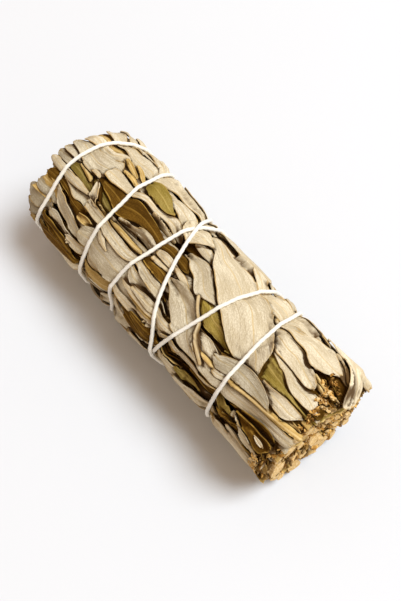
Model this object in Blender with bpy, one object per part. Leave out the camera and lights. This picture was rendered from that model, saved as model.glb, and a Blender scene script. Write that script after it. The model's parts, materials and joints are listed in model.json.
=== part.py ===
# Sage smudge stick: dried leafy sage stems packed lengthwise, covered with loose leaves
# and wound with cotton string. The bundle lies on its side along X, with its cut end at +X.
#
# Places on the bundle are given as (along, around): millimetres along X from the middle,
# and degrees around the axis, from 0 at -Y over 90 at the top and 180 at +Y to 270 below.

import math
import random
from collections import namedtuple

import bmesh
import bpy
import numpy as np
from mathutils import Vector

MM = 0.001

# driving dimensions, in millimetres
HALF_LENGTH = 51.0
PACKED_RADIUS = 14.5      # the packed sprigs, under the loose leaves
HEART_RADIUS = 3.6        # the hollow between the sprigs that the heart stems fill
HEART_SPREAD = 1.85       # from the bundle's axis to each heart stem's
HEART_STEMS = [(1.35, 49.2), (1.25, 48.2), (1.4, 49.7)]    # radius, how far along each ends
FACE_RADIUS = 17.0        # where widths around the bundle are measured
BLADE = 0.65              # thickness of a modelled leaf
CLEAR = 0.3               # air kept between two pieces
STRING_RADIUS = 0.62
GROOVE_DEPTH = 1.0        # how far the string pulls the bundle in
GROOVE_WIDTH = 3.6
BELLY_DEPTH = 13.4        # from the axis to the packed sprigs' flat underside
AXIS_MIDDLE = (0.12, 0.52, 16.6)    # of the bundle, over the middle of where it rests
CORE_FAR = -47.0          # where the packed part of the sprigs starts and ends
CORE_NEAR = 45.5
SPRIG_COUNT = 8
SECTOR = 360.0 / SPRIG_COUNT
FIRST_EDGE = -38.0        # angle of the border before sprig number 0
WANDER = 4.0              # how far a border between sprigs strays, in degrees
WANDER_LENGTH = 13.0
CORE_STATIONS = 21
RAGGED = 0.9              # unevenness of a sprig's packed ends
FAR_TAPER = (-43.0, 9.0, 1.3)    # where the far end starts to narrow, over what length, by how much
RIDGE = 0.35              # height of the folds on a sprig's packed surface
ROOT_MARGIN = 7.0         # degrees from a sprig's border to the root of its leaf
ROOT_DEPTH = 2.0          # how far a leaf's root is sunk into its sprig
ROOTED_STEPS = (5, 2)     # a leaf's grid, along and across
LOOSE_STEPS = (7, 2)
BROAD_STEPS = (10, 4)
BROAD = 10.0              # width from which a leaf has the finer grid
STALK_SHARE = 0.07        # of a rooted leaf's length, where its blade starts
FIRST_ROOT = -45.5        # where the first leaf of a sprig that faces down is rooted
LAST_TIP = 48.5
ROOT_STEP = 12.2
LOWER_LEAVES = 7          # on each sprig that faces down or back
STRING_SIDES = 6
STRING_STEP = 12.5        # degrees between the string's sections
TAUT_STEPS = 2500
KNOT_GAP = 4.0            # degrees between the string's two ends inside the knot
KNOT_SIZE = (1.5, 1.7, 1.25)    # half sizes along, around and out of the bundle
KNOT_LIFT = 0.7           # of the knot's middle over the string's
TAIL = 8.0                # length of the string's cut ends at the knot
SEED = 41

COLOURS = {               # base colour and roughness
    "pale": ((0.56, 0.52, 0.41), 0.85),
    "olive": ((0.34, 0.31, 0.13), 0.75),
    "brown": ((0.29, 0.19, 0.06), 0.7),
    "sprig": ((0.47, 0.41, 0.27), 0.85),
    "stem": ((0.60, 0.44, 0.20), 0.8),
    "string": ((0.91, 0.89, 0.82), 0.9),
}

# The string's route as (turned degrees, along). It starts at the knot behind the bundle,
# winds to the far end, out to the cut end and back, and ends at the same knot.
STRING_ROUTE = [
    (-150, -17.5), (-60, -23.5), (0, -26.7), (20, -26.6), (42, -26.8), (69, -26.9), (84, -27.2),
    (100, -28.0), (130, -29.4), (157, -31.3), (250, -38.0), (345, -45.3), (363, -45.5), (385, -44.8),
    (410, -45.0), (437, -45.5), (461, -45.0), (484, -43.6), (505, -42.4), (560, -36.5), (623, -28.0),
    (690, -16.5), (710, -15.1), (733, -15.1), (750, -14.3), (767, -13.7), (779, -13.0), (793, -12.0),
    (817, -11.2), (841, -10.3), (865, -9.1), (910, -6.0), (967, -2.5), (1040, 1.2), (1079, 3.3),
    (1092, 4.7), (1108, 6.2), (1122, 7.7), (1143, 9.5), (1173, 11.5), (1202, 12.8), (1230, 13.6),
    (1338, 20.0), (1400, 23.2), (1436, 24.4), (1457, 24.8), (1477, 25.2), (1493, 25.1), (1524, 24.1),
    (1552, 23.2), (1587, 21.8), (1687, 14.5), (1760, 7.5), (1802, 3.9), (1820, 2.7), (1836, 0.8),
    (1853, -1.7), (1882, -5.4), (1909, -8.9), (1923, -10.6), (1945, -12.8), (2010, -17.5),
]

Leaf = namedtuple("Leaf", "base tip width bow lift form", defaults=(0.0, 0.0, "lance"))

# Outlines: where a leaf is widest, and how full its ends are
FORMS = {"lance": (1.0, 0.85), "strap": (1.0, 0.45), "round": (1.15, 0.55), "taper": (0.72, 0.9)}

# Leaves of the four sprigs that face up, each rooted in its own sprig
UPPER_SPRIG_LEAVES = {
    1: [
        Leaf((-47, 24), (-28, 11), 6.0),
        Leaf((4, 20), (26, 27), 6.0),
        Leaf((27, 22), (43, 34), 6.5, form="strap"),
        Leaf((-28, 38), (-4, 34), 9.5),
        Leaf((-14, 31), (6, 27), 6.5),
    ],
    2: [
        Leaf((-46, 70), (-32, 75), 5.0),
        Leaf((-13, 63), (0, 62), 6.0, form="strap"),
        Leaf((5, 77), (25, 68), 8.5),
        Leaf((27, 82), (46, 74), 8.0, form="taper"),
        Leaf((-29, 70), (-13, 72), 4.5, form="strap"),
    ],
    3: [
        Leaf((-29, 115), (-15, 111), 5.5),
        Leaf((-38, 97), (-23, 98), 5.0, form="strap"),
        Leaf((-45, 119), (-30, 123), 6.0),
        Leaf((2, 118), (20, 126), 7.0),
        Leaf((25, 121), (42, 112), 7.0),
    ],
    4: [
        Leaf((-47, 160), (-26, 150), 7.5),
        Leaf((-22, 162), (0, 152), 7.5),
        Leaf((4, 160), (28, 154), 8.0),
        Leaf((28, 158), (46, 164), 7.0),
    ],
}

# Loose leaves over the sprigs where the bundle faces up, in the order that they lie
LOOSE_LEAVES = [
    ("brown_leaf_1", "brown", Leaf((-38, 86), (-3, 87), 7.5, -1.2, form="strap")),
    ("olive_leaf_1", "olive", Leaf((-35, 77), (-24, 66), 6.0)),
    ("pale_leaf_01", "pale", Leaf((-15, 47), (8, 40), 7.0)),
    ("pale_leaf_02", "pale", Leaf((-51, 34), (-39, 28), 7.0, form="strap")),
    ("pale_leaf_03", "pale", Leaf((-44, 47), (-25, 27), 4.6)),
    ("pale_leaf_04", "pale", Leaf((-44, 57), (-30, 55), 4.2, 0.6)),
    ("pale_leaf_05", "pale", Leaf((-31, 62), (5, 49), 5.0, 0.5, form="strap")),
    ("pale_leaf_06", "pale", Leaf((-51, 61), (-32, 69), 3.4, form="strap")),
    ("pale_leaf_07", "pale", Leaf((-50, 104), (-35, 84), 9.0)),
    ("pale_leaf_08", "pale", Leaf((-30, 97), (-7, 107), 6.2, 0.8)),
    ("pale_leaf_09", "pale", Leaf((-48, 138), (-30, 135), 7.0)),
    ("pale_leaf_10", "pale", Leaf((-25, 119), (-5, 115), 9.0)),
    ("pale_leaf_11", "pale", Leaf((-33, 131), (-8, 144), 7.0)),
    ("pale_leaf_12", "pale", Leaf((-8, 98), (11, 86), 8.5)),
    ("pale_leaf_13", "pale", Leaf((-7, 75), (17.5, 47), 8.0)),
    ("pale_leaf_14", "pale", Leaf((-9, 141), (12, 135), 5.0)),
    ("pale_leaf_15", "pale", Leaf((8, 142), (28, 131), 7.5)),
    ("pale_leaf_16", "pale", Leaf((16, 48), (47, 49), 7.0, form="strap")),
    ("pale_leaf_17", "pale", Leaf((33, 63), (45.5, 69), 7.5, form="round")),
    ("pale_leaf_18", "pale", Leaf((27, 94), (47, 82), 8.0)),
    ("pale_leaf_19", "pale", Leaf((24, 114), (41, 113), 8.5, form="round")),
    ("pale_leaf_20", "pale", Leaf((22, 105), (41.5, 92), 7.2, form="round")),
    ("pale_leaf_21", "pale", Leaf((-8, 128), (29.5, 76), 12.8, 1.2)),
    ("pale_leaf_22", "pale", Leaf((20, 61), (38, 57), 6.8, 0.6)),
    ("pale_leaf_23", "pale", Leaf((24, 136), (51, 127), 10.5, 0.0, 1.2, "round")),
    ("pale_leaf_24", "pale", Leaf((7, 30), (28, 35), 3.4, form="strap")),
    ("pale_leaf_25", "pale", Leaf((-15, 5), (6, 5), 5.5)),
    ("brown_leaf_2", "brown", Leaf((-27, 9), (-11, 8), 4.6, form="strap")),
    ("pale_leaf_26", "pale", Leaf((29, 19), (44.5, 17), 4.4, form="strap")),
    ("pale_leaf_27", "pale", Leaf((8, 2), (28, 7), 6.0)),
]

# What stands out of each sprig's ends: (distance from the bundle's axis, share of the way across
# the sprig, half width, half thickness, how far it stands out)
CUT_STALKS = [(10.0, 0.5, 1.7, 1.7, 3.6), (6.2, 0.5, 1.0, 1.0, 2.6), (12.7, 0.78, 1.1, 0.9, 2.0),
              (12.9, 0.24, 1.3, 0.8, 1.6)]
FOLDED_TIPS = [(12.6, 0.34, 1.9, 0.6, 2.6), (11.4, 0.7, 1.5, 0.7, 3.2), (7.6, 0.5, 1.5, 0.7, 2.2)]

# The leaf that the bundle's underside rests on, between two turns of the string
RESTING_LEAF = Leaf((-18, 271), (-3, 269), 9.0, lift=1.1, form="round")


# Geometry on the bundle

def spot(along, around, radius):
    """The point of the bundle at (along, around), this many millimetres from its axis."""
    turn = np.radians(around)
    return np.stack([along + 0 * turn, -radius * np.cos(turn), radius * np.sin(turn)], axis=-1)


def string_along(turned):
    """How far along the string is once it has turned so many degrees, on a smooth curve."""
    keys = np.array(STRING_ROUTE, float)
    slope = np.gradient(keys[:, 1], keys[:, 0])
    i = np.clip(np.searchsorted(keys[:, 0], turned, side="right") - 1, 0, len(keys) - 2)
    width = keys[i + 1, 0] - keys[i, 0]
    t = (turned - keys[i, 0]) / width
    return (
        keys[i, 1] * (1 + 2 * t) * (1 - t) ** 2 + keys[i + 1, 1] * t * t * (3 - 2 * t)
        + width * (slope[i] * t * (1 - t) ** 2 - slope[i + 1] * t * t * (1 - t))
    )


def packed_radius(along, around):
    """Outer radius of the packed sprigs: round, flatter below, drawn in at the string and the ends."""
    along, around = np.broadcast_arrays(np.asarray(along, float), np.asarray(around, float))
    off_bottom = np.radians((around - 270 + 180) % 360 - 180)
    radius = np.minimum(PACKED_RADIUS, BELLY_DEPTH / np.maximum(np.cos(off_bottom), 0.5))
    nearest = np.full(along.shape, 99.0)
    for turn in range(-1, 6):
        turned = around + 360 * turn
        inside = (turned >= STRING_ROUTE[0][0]) & (turned <= STRING_ROUTE[-1][0])
        reach = np.abs(along - string_along(np.clip(turned, STRING_ROUTE[0][0], STRING_ROUTE[-1][0])))
        nearest = np.where(inside, np.minimum(nearest, reach), nearest)
    radius = radius - GROOVE_DEPTH * np.exp(-((nearest / GROOVE_WIDTH) ** 2))
    start, length, depth = FAR_TAPER
    return radius - depth * np.clip((start - along) / length, 0, 1) ** 2


class Pile:
    """The height of what has been laid so far, as a radius over each cell of the unrolled bundle."""

    STEP, TURN = 0.5, 1.5

    def __init__(self):
        self.rows = int(2 * (HALF_LENGTH + 3) / self.STEP) + 1
        self.columns = int(360 / self.TURN)
        along = (np.arange(self.rows) * self.STEP - HALF_LENGTH - 3)[:, None]
        around = (np.arange(self.columns) * self.TURN)[None, :]
        self.top = packed_radius(along, around) - 0.6

    def cell(self, points):
        around = np.degrees(np.arctan2(points[:, 2], -points[:, 1])) % 360
        row = np.round((points[:, 0] + HALF_LENGTH + 3) / self.STEP).astype(int)
        column = np.round(around / self.TURN).astype(int) % self.columns
        return np.clip(row, 0, self.rows - 1), column

    def add(self, points):
        """Raises the pile to these points."""
        np.maximum.at(self.top, self.cell(points), np.hypot(points[:, 1], points[:, 2]))

    def under(self, points):
        """Highest radius laid within a cell of each point."""
        row, column = self.cell(points)
        best = np.zeros(len(points))
        for i in (-1, 0, 1):
            for j in (-1, 0, 1):
                near = self.top[np.clip(row + i, 0, self.rows - 1), (column + j) % self.columns]
                best = np.maximum(best, near)
        return best


def spread_over(corners, step=0.3):
    """Points spread evenly over a triangle."""
    a, b, c = corners
    longest = max(np.linalg.norm(b - a), np.linalg.norm(c - b), np.linalg.norm(a - c))
    n = max(2, int(longest / step) + 1)
    i, j = np.meshgrid(np.arange(n + 1), np.arange(n + 1))
    keep = i + j <= n
    i, j = i[keep][:, None] / n, j[keep][:, None] / n
    return a + (b - a) * i + (c - a) * j


def lay(pile, obj):
    """Adds a finished object to the pile."""
    mesh = evaluated(obj)
    mesh.calc_loop_triangles()
    points = np.array([v.co for v in mesh.vertices]) / MM - AXIS_MIDDLE
    for triangle in mesh.loop_triangles:
        pile.add(spread_over(points[list(triangle.vertices)]))
    bpy.data.meshes.remove(mesh)


# Blender objects

def evaluated(obj):
    bpy.context.view_layer.update()
    return bpy.data.meshes.new_from_object(obj.evaluated_get(bpy.context.evaluated_depsgraph_get()))


def material(kind):
    found = bpy.data.materials.get(kind)
    if found:
        return found
    made = bpy.data.materials.new(kind)
    made.use_nodes = True
    shader = made.node_tree.nodes["Principled BSDF"]
    colour, roughness = COLOURS[kind]
    shader.inputs["Base Color"].default_value = (*colour, 1)
    shader.inputs["Roughness"].default_value = roughness
    shader.inputs["Metallic"].default_value = 0
    return made


def add_object(name, data, kind, collection=None):
    obj = bpy.data.objects.new(name, data)
    (collection or bpy.context.scene.collection).objects.link(obj)
    data.materials.clear()
    data.materials.append(material(kind))
    return obj


def ring_faces(size, count):
    """Faces of a closed skin over a row of rings of points, with a cap at each end."""
    faces = []
    for i in range(count - 1):
        for k in range(size):
            a, b = i * size + k, i * size + (k + 1) % size
            faces.append((a, b, b + size, a + size))
    faces.append(tuple(reversed(range(size))))
    faces.append(tuple(range((count - 1) * size, count * size)))
    return faces


def mesh_from(name, points, faces):
    """A mesh from points in millimetres from the middle of the bundle's axis."""
    mesh = bpy.data.meshes.new(name)
    mesh.from_pydata([(Vector(p) + Vector(AXIS_MIDDLE)) * MM for p in points], [], faces)
    return mesh


def fuse(obj, pieces):
    """Joins the objects of a collection to obj by one applied Boolean union."""
    union = obj.modifiers.new("fuse", "BOOLEAN")
    union.operand_type = "COLLECTION"
    union.collection = pieces
    union.operation = "UNION"
    union.solver = "EXACT"
    joined = evaluated(obj)
    obj.modifiers.remove(union)
    obj.data = joined
    for piece in list(pieces.objects):
        bpy.data.objects.remove(piece)
    bpy.data.collections.remove(pieces)


# Leaves

def outline(leaf, length_steps, width_steps, rooted):
    """(along, around) of each grid point of a leaf, and how far along the leaf each row is."""
    widest, fullness = FORMS[leaf.form]
    u = np.linspace(0, 1, length_steps + 1)
    if rooted:                               # a short stalk, then the blade
        u = np.concatenate([[0], np.linspace(STALK_SHARE, 1, length_steps)])
    v = np.linspace(-1, 1, width_steps + 1)
    per_degree = FACE_RADIUS * math.pi / 180
    start = np.array([leaf.base[0], leaf.base[1] * per_degree])
    end = np.array([leaf.tip[0], leaf.tip[1] * per_degree])
    heading = (end - start) / np.linalg.norm(end - start)
    side = np.array([-heading[1], heading[0]])
    centre = start + u[:, None] * (end - start) + (leaf.bow * np.sin(np.pi * u))[:, None] * side
    fill = np.sin(np.pi * np.clip(u, 0.03, 0.97) ** widest) ** fullness
    wave = 1 + 0.05 * np.sin(9 * u + leaf.base[0])
    half = leaf.width / 2 * np.maximum(fill * wave, 0.14)
    flat = centre[:, None, :] + half[:, None, None] * v[None, :, None] * side
    return flat[..., 0], flat[..., 1] / per_degree, u


def sheet_faces(length_steps, width_steps):
    """Triangles over a leaf's grid of points, facing out."""
    faces = []
    for i in range(length_steps):
        for j in range(width_steps):
            a = i * (width_steps + 1) + j
            b, c, d = a + 1, a + width_steps + 2, a + width_steps + 1
            faces += [(a, d, c), (a, c, b)] if (i + j) % 2 else [(a, d, b), (d, c, b)]
    return faces


def rest_on(pile, along, around, faces, lift):
    """Radius of each point of a leaf's underside, so that every facet clears the pile."""
    flat_along, flat_around = along.ravel(), around.ravel()
    radius = pile.under(spot(flat_along, flat_around, np.full(flat_along.shape, FACE_RADIUS)))
    radius = (radius + CLEAR).reshape(along.shape)
    for _ in range(2):                       # a dry leaf bridges small hollows
        smooth = radius.copy()
        smooth[1:-1] = (radius[:-2] + radius[2:]) / 2
        smooth[:, 1:-1] = (smooth[:, :-2] + smooth[:, 2:]) / 4 + smooth[:, 1:-1] / 2
        radius = np.maximum(radius * 0.35 + smooth * 0.65, smooth)
    radius = (radius + lift).ravel()
    for _ in range(10):
        points = spot(flat_along, flat_around, radius)
        short = np.zeros(len(points))
        for face in faces:
            samples = spread_over(points[list(face)], 0.5)
            missing = pile.under(samples) + CLEAR - np.hypot(samples[:, 1], samples[:, 2])
            for corner in face:
                short[corner] = max(short[corner], missing.max())
        if short.max() < 0.01:
            break
        radius = radius + short * 0.8
    return radius


def press_flat(obj):
    """Flattens what would reach below the surface that the bundle rests on."""
    for vertex in obj.data.vertices:
        vertex.co.z = max(vertex.co.z, 0.0)


def leaf_object(name, leaf, pile, kind, steps, root_radius=None, collection=None):
    """A leaf laid on the pile. With root_radius its base dips to that radius, to join what it grows from."""
    length_steps, width_steps = steps
    along, around, u = outline(leaf, length_steps, width_steps, root_radius is not None)
    faces = sheet_faces(length_steps, width_steps)
    lift = (leaf.lift * np.sin(np.pi * u) ** 2)[:, None]
    radius = rest_on(pile, along, around, faces, lift)
    if root_radius is not None:
        radius[: width_steps + 1] = root_radius
    sheet = mesh_from(name, spot(along.ravel(), around.ravel(), radius), faces)
    obj = add_object(name, sheet, kind, collection)
    thickness = obj.modifiers.new("thickness", "SOLIDIFY")
    thickness.thickness = BLADE * MM
    thickness.offset = 1
    lay(pile, obj)
    return obj


# Stems

def stalk_mesh(name, start, end, around, out, half_width, half_thickness, slant=0.0):
    """A straight dry stalk or folded leaf tip along X, six-sided, with a slanting cut at its ends."""
    outward = spot(0, around, 1.0)
    across = spot(0, around + 90, 1.0)
    points = []
    for along in (start, end):
        for k in range(6):
            turn = math.tau * k / 6
            wide, thick = half_width * math.cos(turn), half_thickness * math.sin(turn)
            points.append(spot(along + slant * math.cos(turn), around, out)
                          + wide * across + thick * outward)
    return mesh_from(name, points, ring_faces(6, 2))


def add_heart_stems():
    """Three stems down the middle of the bundle."""
    for i, (radius, end) in enumerate(HEART_STEMS):
        name = f"heart_stem_{i + 1}"
        around = 30 + 120 * i
        start = CORE_FAR - 0.5 + i
        add_object(name, stalk_mesh(name, start, end, around, HEART_SPREAD, radius, radius, 0.5), "stem")


# Packed sprigs

def sprig_edge(number, along):
    """Angle of the border between two sprigs, which wanders along the bundle."""
    phase = math.radians(3 * SECTOR * number)
    return SECTOR * number + FIRST_EDGE + WANDER * math.sin(along / WANDER_LENGTH + phase)


def across_sprig(number, along, share, margin):
    """Angle at a share of the way across a sprig, kept this many degrees off its borders."""
    low, high = sprig_edge(number, along) + margin, sprig_edge(number + 1, along) - margin
    return low + (high - low) * share


def sprig_core(number, rng):
    """The folded leaves of one sprig, pressed into a wedge between its neighbours."""
    far, near = CORE_FAR + rng.uniform(-RAGGED, RAGGED), CORE_NEAR + rng.uniform(-RAGGED, RAGGED)
    stations = np.linspace(far, near, CORE_STATIONS)
    ring = [(HEART_RADIUS, 0.15), (HEART_RADIUS, 0.85)]    # inner corners, then outer ones
    ring += [(None, share) for share in (1, 0.75, 0.5, 0.25, 0)]
    points = []
    for i, along in enumerate(stations):
        at_end = i in (0, CORE_STATIONS - 1)
        for out, share in ring:
            shift = rng.uniform(-RAGGED, RAGGED) if at_end else 0
            angle = across_sprig(number, along, share, math.degrees(CLEAR * 0.75 / (out or PACKED_RADIUS)))
            ridge = RIDGE * (math.cos(0.9 * i + 9 * share + number) - 1)
            points.append(spot(along + shift, angle, out or float(packed_radius(along, angle)) + ridge))
    mesh = mesh_from("sprig", points, ring_faces(len(ring), CORE_STATIONS))
    shape = bmesh.new()
    shape.from_mesh(mesh)
    bmesh.ops.triangulate(shape, faces=shape.faces)
    bmesh.ops.recalc_face_normals(shape, faces=shape.faces)
    shape.to_mesh(mesh)
    shape.free()
    return mesh


def lower_sprig_leaves(number, rng):
    """Leaves of a sprig that faces down or back, leaning to either side by turns."""
    leaves = []
    for i in range(LOWER_LEAVES):
        start = FIRST_ROOT + ROOT_STEP * i + rng.uniform(-1.5, 1.5)
        end = min(start + rng.uniform(19, 24), LAST_TIP)
        lean = rng.uniform(0.3, 0.6) * (-1) ** i
        base = (start, across_sprig(number, start, 0.5, 0))
        tip = (end, across_sprig(number, end, 0.5 + lean, 0))
        leaves.append(Leaf(base, tip, rng.uniform(6.0, 8.5)))
    return leaves


def add_sprigs(pile, rng):
    """The eight leafy stems that fill the bundle, each with its leaves, stem and chopped stalks."""
    cores = []
    for number in range(1, SPRIG_COUNT + 1):
        core = add_object(f"sprig_{number}", sprig_core(number, rng), "sprig")
        lay(pile, core)
        cores.append(core)
    for number, core in enumerate(cores, start=1):
        parts = bpy.data.collections.new(f"parts of sprig {number}")
        bpy.context.scene.collection.children.link(parts)
        leaves = UPPER_SPRIG_LEAVES.get(number) or lower_sprig_leaves(number, rng)
        for leaf in leaves:
            low, high = (across_sprig(number, leaf.base[0], side, ROOT_MARGIN) for side in (0, 1))
            base = (leaf.base[0], min(max(leaf.base[1], low), high))
            root = float(packed_radius(*base)) - ROOT_DEPTH
            leaf_object("leaf", leaf._replace(base=base), pile, "sprig", ROOTED_STEPS, root, parts)
        for out, share, half_width, half_thickness, stand in CUT_STALKS:
            around = across_sprig(number, CORE_NEAR - 2, share, 0)
            end = CORE_NEAR + stand * rng.uniform(0.7, 1.1)
            stalk = stalk_mesh("stalk", CORE_NEAR - 5, end, around, out, half_width, half_thickness,
                               rng.uniform(-0.4, 0.4))
            add_object("stalk", stalk, "sprig", parts)
        for out, share, half_width, half_thickness, stand in FOLDED_TIPS:
            around = across_sprig(number, CORE_FAR + 2, share, 0)
            end = CORE_FAR - stand * rng.uniform(0.6, 1.1)
            fold = stalk_mesh("fold", end, CORE_FAR + 5, around, out, half_width, half_thickness,
                              rng.uniform(-0.5, 0.5))
            add_object("fold", fold, "sprig", parts)
        fuse(core, parts)


def add_loose_leaves(pile):
    """The leaves that lie over the sprigs where the bundle faces up, and the one that it rests on."""
    for name, kind, leaf in LOOSE_LEAVES:
        leaf_object(name, leaf, pile, kind, BROAD_STEPS if leaf.width > BROAD else LOOSE_STEPS)
    obj = leaf_object("resting_leaf", RESTING_LEAF, pile, "pale", BROAD_STEPS)
    obj.data = evaluated(obj)
    obj.modifiers.clear()
    press_flat(obj)


# The string

def taut(needed, around):
    """Draws a string tight over the radius that it needs at each point, so it bridges every hollow."""
    radius = needed.copy()
    half_step = np.radians(around[1] - around[0])
    for _ in range(TAUT_STEPS):
        chord = (radius[:-2] + radius[2:]) / 2 * math.cos(half_step)
        radius[1:-1] = np.maximum(needed[1:-1], chord)
    return radius


def height_for_string(pile, along, around):
    """Distance from the bundle's axis that the string's middle needs to clear the leaves."""
    needed = np.zeros(len(along))
    for side in np.linspace(-1.2, 1.2, 7) * STRING_RADIUS:
        needed = np.maximum(needed, pile.under(spot(along + side, around, np.full(along.shape, FACE_RADIUS))))
    for _ in range(3):                       # a bump also lifts the string just beside it
        wide = np.pad(needed, 1, "edge")
        needed = np.maximum(needed, np.maximum(wide[2:], wide[:-2]))
    return needed + CLEAR + STRING_RADIUS


def string_path(pile):
    """Closely spaced points along the middle of the string, over the leaves and over itself."""
    first, last = STRING_ROUTE[0][0] + KNOT_GAP / 2, STRING_ROUTE[-1][0] - KNOT_GAP / 2
    turned = np.linspace(first, last, int((last - first) / STRING_STEP) * 4 + 1)
    along = string_along(turned)
    flat = spot(along, turned, np.full(turned.shape, FACE_RADIUS))
    needed = height_for_string(pile, along, turned)
    over = 2 * STRING_RADIUS + CLEAR
    half_turn = int(180 / (turned[1] - turned[0]))
    for _ in range(4):                       # a later turn lies over an earlier one
        radius = taut(needed, turned)
        for i in range(half_turn, len(turned)):
            apart = np.linalg.norm(flat[: i - half_turn + 1] - flat[i], axis=1)
            j = int(apart.argmin())
            if apart[j] < 2 * over:
                share = max(0.0, apart[j] - 0.7 * over) / (1.3 * over)
                needed[i] = max(needed[i], radius[j] + over * math.cos(share * math.pi / 2))
    radius = taut(needed, turned) / math.cos(math.radians(STRING_STEP / 2))
    return spot(along, turned, radius)


def tube(name, path, radius, sides):
    """A closed tube along a path of points, with flat caps."""
    ahead = np.gradient(path, axis=0)
    ahead /= np.linalg.norm(ahead, axis=1)[:, None]
    points = []
    for centre, direction in zip(path, ahead):
        out = centre * (0, 1, 1)
        out = out - direction * (out @ direction)
        out /= np.linalg.norm(out)
        across = np.cross(direction, out)
        for k in range(sides):
            turn = 2 * math.pi * (k + 0.5) / sides
            points.append(centre + radius * (math.cos(turn) * out + math.sin(turn) * across))
    return mesh_from(name, points, ring_faces(sides, len(path)))


def knot_lump(centre):
    """The tied knot, a small round lump."""
    outward = centre * (0, 1, 1) / np.linalg.norm(centre[1:])
    around = np.cross((1, 0, 0), outward)
    shape = bmesh.new()
    bmesh.ops.create_icosphere(shape, subdivisions=2, radius=1)
    points = [centre + v.co.x * KNOT_SIZE[0] * np.array((1, 0, 0)) + v.co.y * KNOT_SIZE[1] * around
              + v.co.z * KNOT_SIZE[2] * outward for v in shape.verts]
    faces = [[v.index for v in face.verts] for face in shape.faces]
    shape.free()
    return mesh_from("knot", points, faces)


def add_string(pile):
    """One cotton string wound round the bundle, tied behind it, with two short tails."""
    path = string_path(pile)
    string = add_object("string", tube("string", path[::4], STRING_RADIUS, STRING_SIDES), "string")
    around = STRING_ROUTE[0][0]
    parts = bpy.data.collections.new("knot")
    bpy.context.scene.collection.children.link(parts)
    centre = (path[0] + path[-1]) / 2
    centre = centre * (1 + np.array((0, 1, 1)) * KNOT_LIFT / np.linalg.norm(centre[1:]))
    add_object("knot", knot_lump(centre), "string", parts)
    for direction, lean in ((1, 1.1), (-1, -0.8)):
        share = np.linspace(0, 1, 8)
        along = centre[0] + direction * TAIL * share
        turned = around + lean * TAIL * share
        radius = height_for_string(pile, along, turned)
        radius[0] = np.linalg.norm(centre[1:])
        add_object("tail", tube("tail", spot(along, turned, radius), STRING_RADIUS, STRING_SIDES), "string", parts)
    fuse(string, parts)
    press_flat(string)


# The scene

def clear_scene():
    for obj in list(bpy.data.objects):
        bpy.data.objects.remove(obj)


def main():
    clear_scene()
    rng = random.Random(SEED)
    pile = Pile()
    add_heart_stems()
    add_sprigs(pile, rng)
    add_loose_leaves(pile)
    add_string(pile)


main()
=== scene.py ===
import json
import math
import random

import bpy
import numpy as np
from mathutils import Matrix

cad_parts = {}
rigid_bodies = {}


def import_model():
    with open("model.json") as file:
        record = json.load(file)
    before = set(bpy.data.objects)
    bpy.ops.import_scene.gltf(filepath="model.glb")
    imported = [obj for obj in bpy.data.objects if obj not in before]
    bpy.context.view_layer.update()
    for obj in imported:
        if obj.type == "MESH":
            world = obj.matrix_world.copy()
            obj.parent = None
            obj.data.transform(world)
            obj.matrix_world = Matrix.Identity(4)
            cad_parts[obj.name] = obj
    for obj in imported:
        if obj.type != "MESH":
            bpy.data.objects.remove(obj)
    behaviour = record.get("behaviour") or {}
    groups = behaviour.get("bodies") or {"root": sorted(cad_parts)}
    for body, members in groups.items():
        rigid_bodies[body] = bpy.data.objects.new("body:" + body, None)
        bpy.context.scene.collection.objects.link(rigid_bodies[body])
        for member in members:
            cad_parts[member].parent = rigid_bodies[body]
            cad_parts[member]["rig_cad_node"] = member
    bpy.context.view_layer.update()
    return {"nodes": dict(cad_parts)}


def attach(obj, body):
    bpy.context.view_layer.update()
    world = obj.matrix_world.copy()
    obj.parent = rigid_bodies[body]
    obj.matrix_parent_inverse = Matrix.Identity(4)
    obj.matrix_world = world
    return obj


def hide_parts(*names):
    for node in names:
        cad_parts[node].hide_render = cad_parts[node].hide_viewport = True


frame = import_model()

# Sage smudge stick. Places on the bundle are (along, around): millimetres along X from the
# middle, and degrees round the axis, 0 at the front low side, 90 on top, 270 underneath.
# The cut end is at +X. Lengths are millimetres until a mesh is made.
mm = 0.001
bundle = {
    "axis": np.array((0.12, 0.52, 16.6)),
    "faceRadius": 17.0,          # where widths round the bundle are measured
    "coreRadius": 13.7,
    "outerRadius": 17.45,        # the leafy surface, on average
    "bellyDepth": 15.9,          # flatter where it lies
    "farTaper": (-44.5, 6.5, 1.5, 1.2, 200.0),    # from, length, depth, deeper on one side, that side
    "nearEnds": ((-40, 41.6), (-10, 42.0), (15, 42.6), (45, 45.4), (90, 46.6), (125, 46.4), (150, 45.2), (190, 44.2), (270, 43.6),
                 (320, 41.6)),
    "cutFace": (45.7, 12.5, 16.0),    # how far the middle of the cut end reaches, from this radius to this it slopes
    "farEnds": ((-40, -50.0), (12, -51.8), (31, -52.0), (45, -50.2), (60, -50.0), (68, -52.4), (90, -52.0), (104, -51.0),
                (115, -50.0), (143, -49.6), (160, -48.2), (200, -48.5), (270, -49.5), (320, -50.0)),
    "fuller": ((-30.0, ((-50, 0.6), (-30, 0.0), (-8, 0.0), (2, -0.8), (12, -1.2), (30, -1.5), (44, -1.3))),    # on one side:
               (165.0, ((-50, 1.2), (-34, 0.9), (-18, 0.0), (0, -0.5), (15, -0.5), (30, 0.1), (38, 0.6), (46, 1.1)))),   # along, more radius
    "dent": 1.1,                 # how far the string pulls the leaves in
    "dentWidth": 1.8,
    "proud": 1.5,                # the most that a leaf stands out
    "sheet": 0.22,               # thickness of a dry leaf
    "gap": 0.04,
}
perDegree = bundle["faceRadius"] * math.pi / 180

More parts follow.
